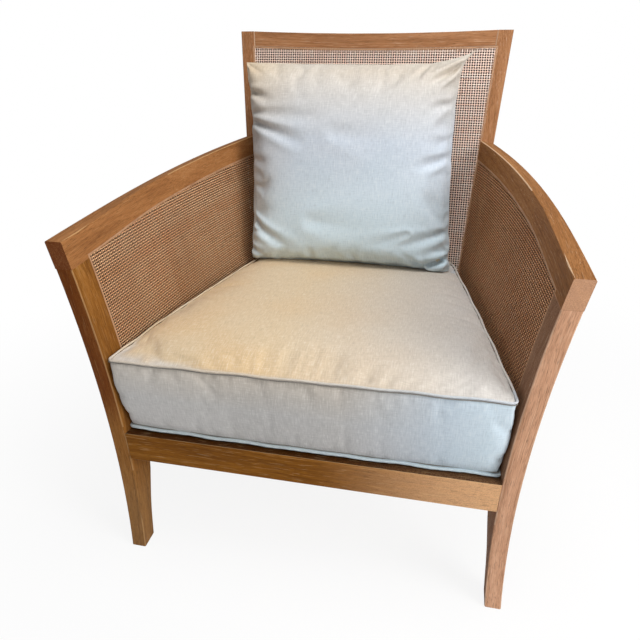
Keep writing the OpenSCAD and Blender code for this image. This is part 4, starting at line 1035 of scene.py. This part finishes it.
def pillow_point(u, v, side, less=0.0, plumpness=1.0):
    """A point of the pillow's front (side 1) or back (side -1) face, u and v from -1 to 1; metres."""
    a, b = pillow_w / 2 * (0.985 + 0.015 * v) - less, pillow_h / 2 - less
    ear = ((1 + u) / 2) ** 14 * ((1 + v) / 2) ** 34
    lift = ((1 + u) / 2) ** 14 * ((1 + v) / 2) ** 10
    if u > 0 and v > 0:
        a -= 0.016 * v ** 1.3
    for u0, v0, u1, v1, depth, width in pillow_folds:
        if abs(u0) > 0.96 and u * u0 > 0:
            a -= 0.30 * depth * u ** 8 * math.exp(-((v - v0) / 0.06) ** 2) * (abs(v0) < 0.85)
        if abs(v0) > 0.96 and v * v0 > 0:
            b -= 0.30 * depth * v ** 8 * math.exp(-((u - u0) / 0.06) ** 2) * (abs(u0) < 0.85)
    x = u * (a - pillow_draw * (1.4 if u > 0 else 0.8) * (1 - v * v)) + ear_pull * ear
    w = v * (b - pillow_draw * (0.2 if v > 0 else 0.60) * (1 - u * u)) + ear_pull * lift
    tip = abs(u * v) ** 9 if v < 0 else 0.0
    x, w = x - math.copysign(0.007, u) * tip, w + 0.005 * tip
    full = max(0.0, 1 - u * u) ** (0.36 if u > 0 else 0.30) * max(0.0, 1 - v * v) ** (0.19 if v < 0 else 0.42)
    t = seam_t / 2 + (pillow_t / 2 - seam_t - less) * plumpness * full
    if less == 0:
        t -= fold_depth(u, v, False) * (0.6 if side > 0 else 0.3)
    else:
        t = max(0.0004, t - fold_depth(u, v, False) * 2.4 - 0.008 * (1 - full))
    depth = pillow_depth - side * t
    x, w = x - pillow_shift - 0.0045 * v, pillow_mid_w + w
    return x, back_foot_y + w * sinl + depth * cosl, w * cosl - depth * sinl


def eased_steps(n):
    """From -1 to 1, closer together towards both ends."""
    return [math.sin(math.pi / 2 * i / n) for i in range(-n, n + 1)]


def pillow_skin(name, n, less=0.0, plumpness=1.0):
    """Two square faces joined along their edges, closed all round."""
    steps, size = eased_steps(n), 2 * n + 1
    points = [pillow_point(u, v, side, less, plumpness) for side in (1, -1) for u in steps for v in steps]
    faces = []
    for i in range(size - 1):
        for j in range(size - 1):
            a, b, c, d = i * size + j, i * size + j + 1, (i + 1) * size + j + 1, (i + 1) * size + j
            faces += [(a, d, c, b), (a + size * size, b + size * size, c + size * size, d + size * size)]
    rim = ([(i, 0) for i in range(size - 1)] + [(size - 1, j) for j in range(size - 1)]
           + [(i, size - 1) for i in range(size - 1, 0, -1)] + [(0, j) for j in range(size - 1, 0, -1)])
    for k, (i, j) in enumerate(rim):
        p, q = i * size + j, rim[(k + 1) % len(rim)][0] * size + rim[(k + 1) % len(rim)][1]
        faces.append((p, p + size * size, q + size * size, q))
    mesh = mesh_of(name, points, faces)
    face_out(mesh)
    return mesh, {i * size + j for i, j in rim}


pillow_cells = 54
pillow_mesh, pillow_rim = pillow_skin("back_pillow_linen", pillow_cells, 0.0, 0.95)
pillow = placed("back_pillow_linen", pillow_mesh)
square = (2 * pillow_cells + 1) ** 2
held = np.array([1.0 if k % square in pillow_rim else 0.0 for k in range(2 * square)])
plump(pillow, held, 4.0, 0.03, 0.008, 0.010)
steps = eased_steps(pillow_cells)
crisp = np.array([fold_depth(u, v, True) * share for share in (0.95, 0.35) for u in steps for v in steps])
spot = corners_of(pillow.data) - crisp[:, None] * normals_of(pillow.data)
# The halves stay on their own sides of the pillow's middle, also where a fold is deep
behind = (spot[:, 1] - back_foot_y) * cosl - spot[:, 2] * sinl
front_half = np.arange(len(spot)) < square
push = np.maximum(0, np.where(front_half, behind - pillow_depth + 0.0009, behind - 0.0005))[:, None]
spot = spot - push * np.array([[0, cosl, -sinl]])
pillow.data.vertices.foreach_set("co", spot.ravel())
subdivide(pillow)


def up_pillow(co):
    """How far up the leaning pillow each point is, from its middle; metres."""
    return (co[:, 1] - back_foot_y) * sinl + co[:, 2] * cosl - pillow_mid_w


def pillow_panels(co, normal):
    w = (co[:, 1] - back_foot_y) * sinl + co[:, 2] * cosl
    return np.stack([co[:, 0], w + np.where(normal[:, 1] > 0, 2.3, 0.0)], axis=1)


# Painted warm light towards the pillow's top, and some at its left side.
def pillow_painted_warm_light(co, out):
    return (np.clip(0.58 * (up_pillow(co) - 0.05) / 0.14, 0, 0.58)
            + np.clip((-0.12 - co[:, 0]) / 0.12, 0, 1) * 0.25)


# Painted light: the pillow paler and bluer towards its foot, where it turns down.
def pillow_painted_light(co):
    return np.clip((0.06 - up_pillow(co)) / 0.24, 0, 1)


lay_linen(pillow, pillow_panels, pillow_painted_warm_light, pillow_painted_light)
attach(pillow, "back_pillow")
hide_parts("back_pillow_cover")

feather_mesh = pillow_skin("back_pillow_feathers", 8, 0.012, 0.86)[0]
feather_mesh.shade_smooth()
feather_mesh.materials.append(foam_finish)
feathers = placed("back_pillow_feathers", feather_mesh)
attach(feathers, "back_pillow")
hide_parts("back_pillow_filling")
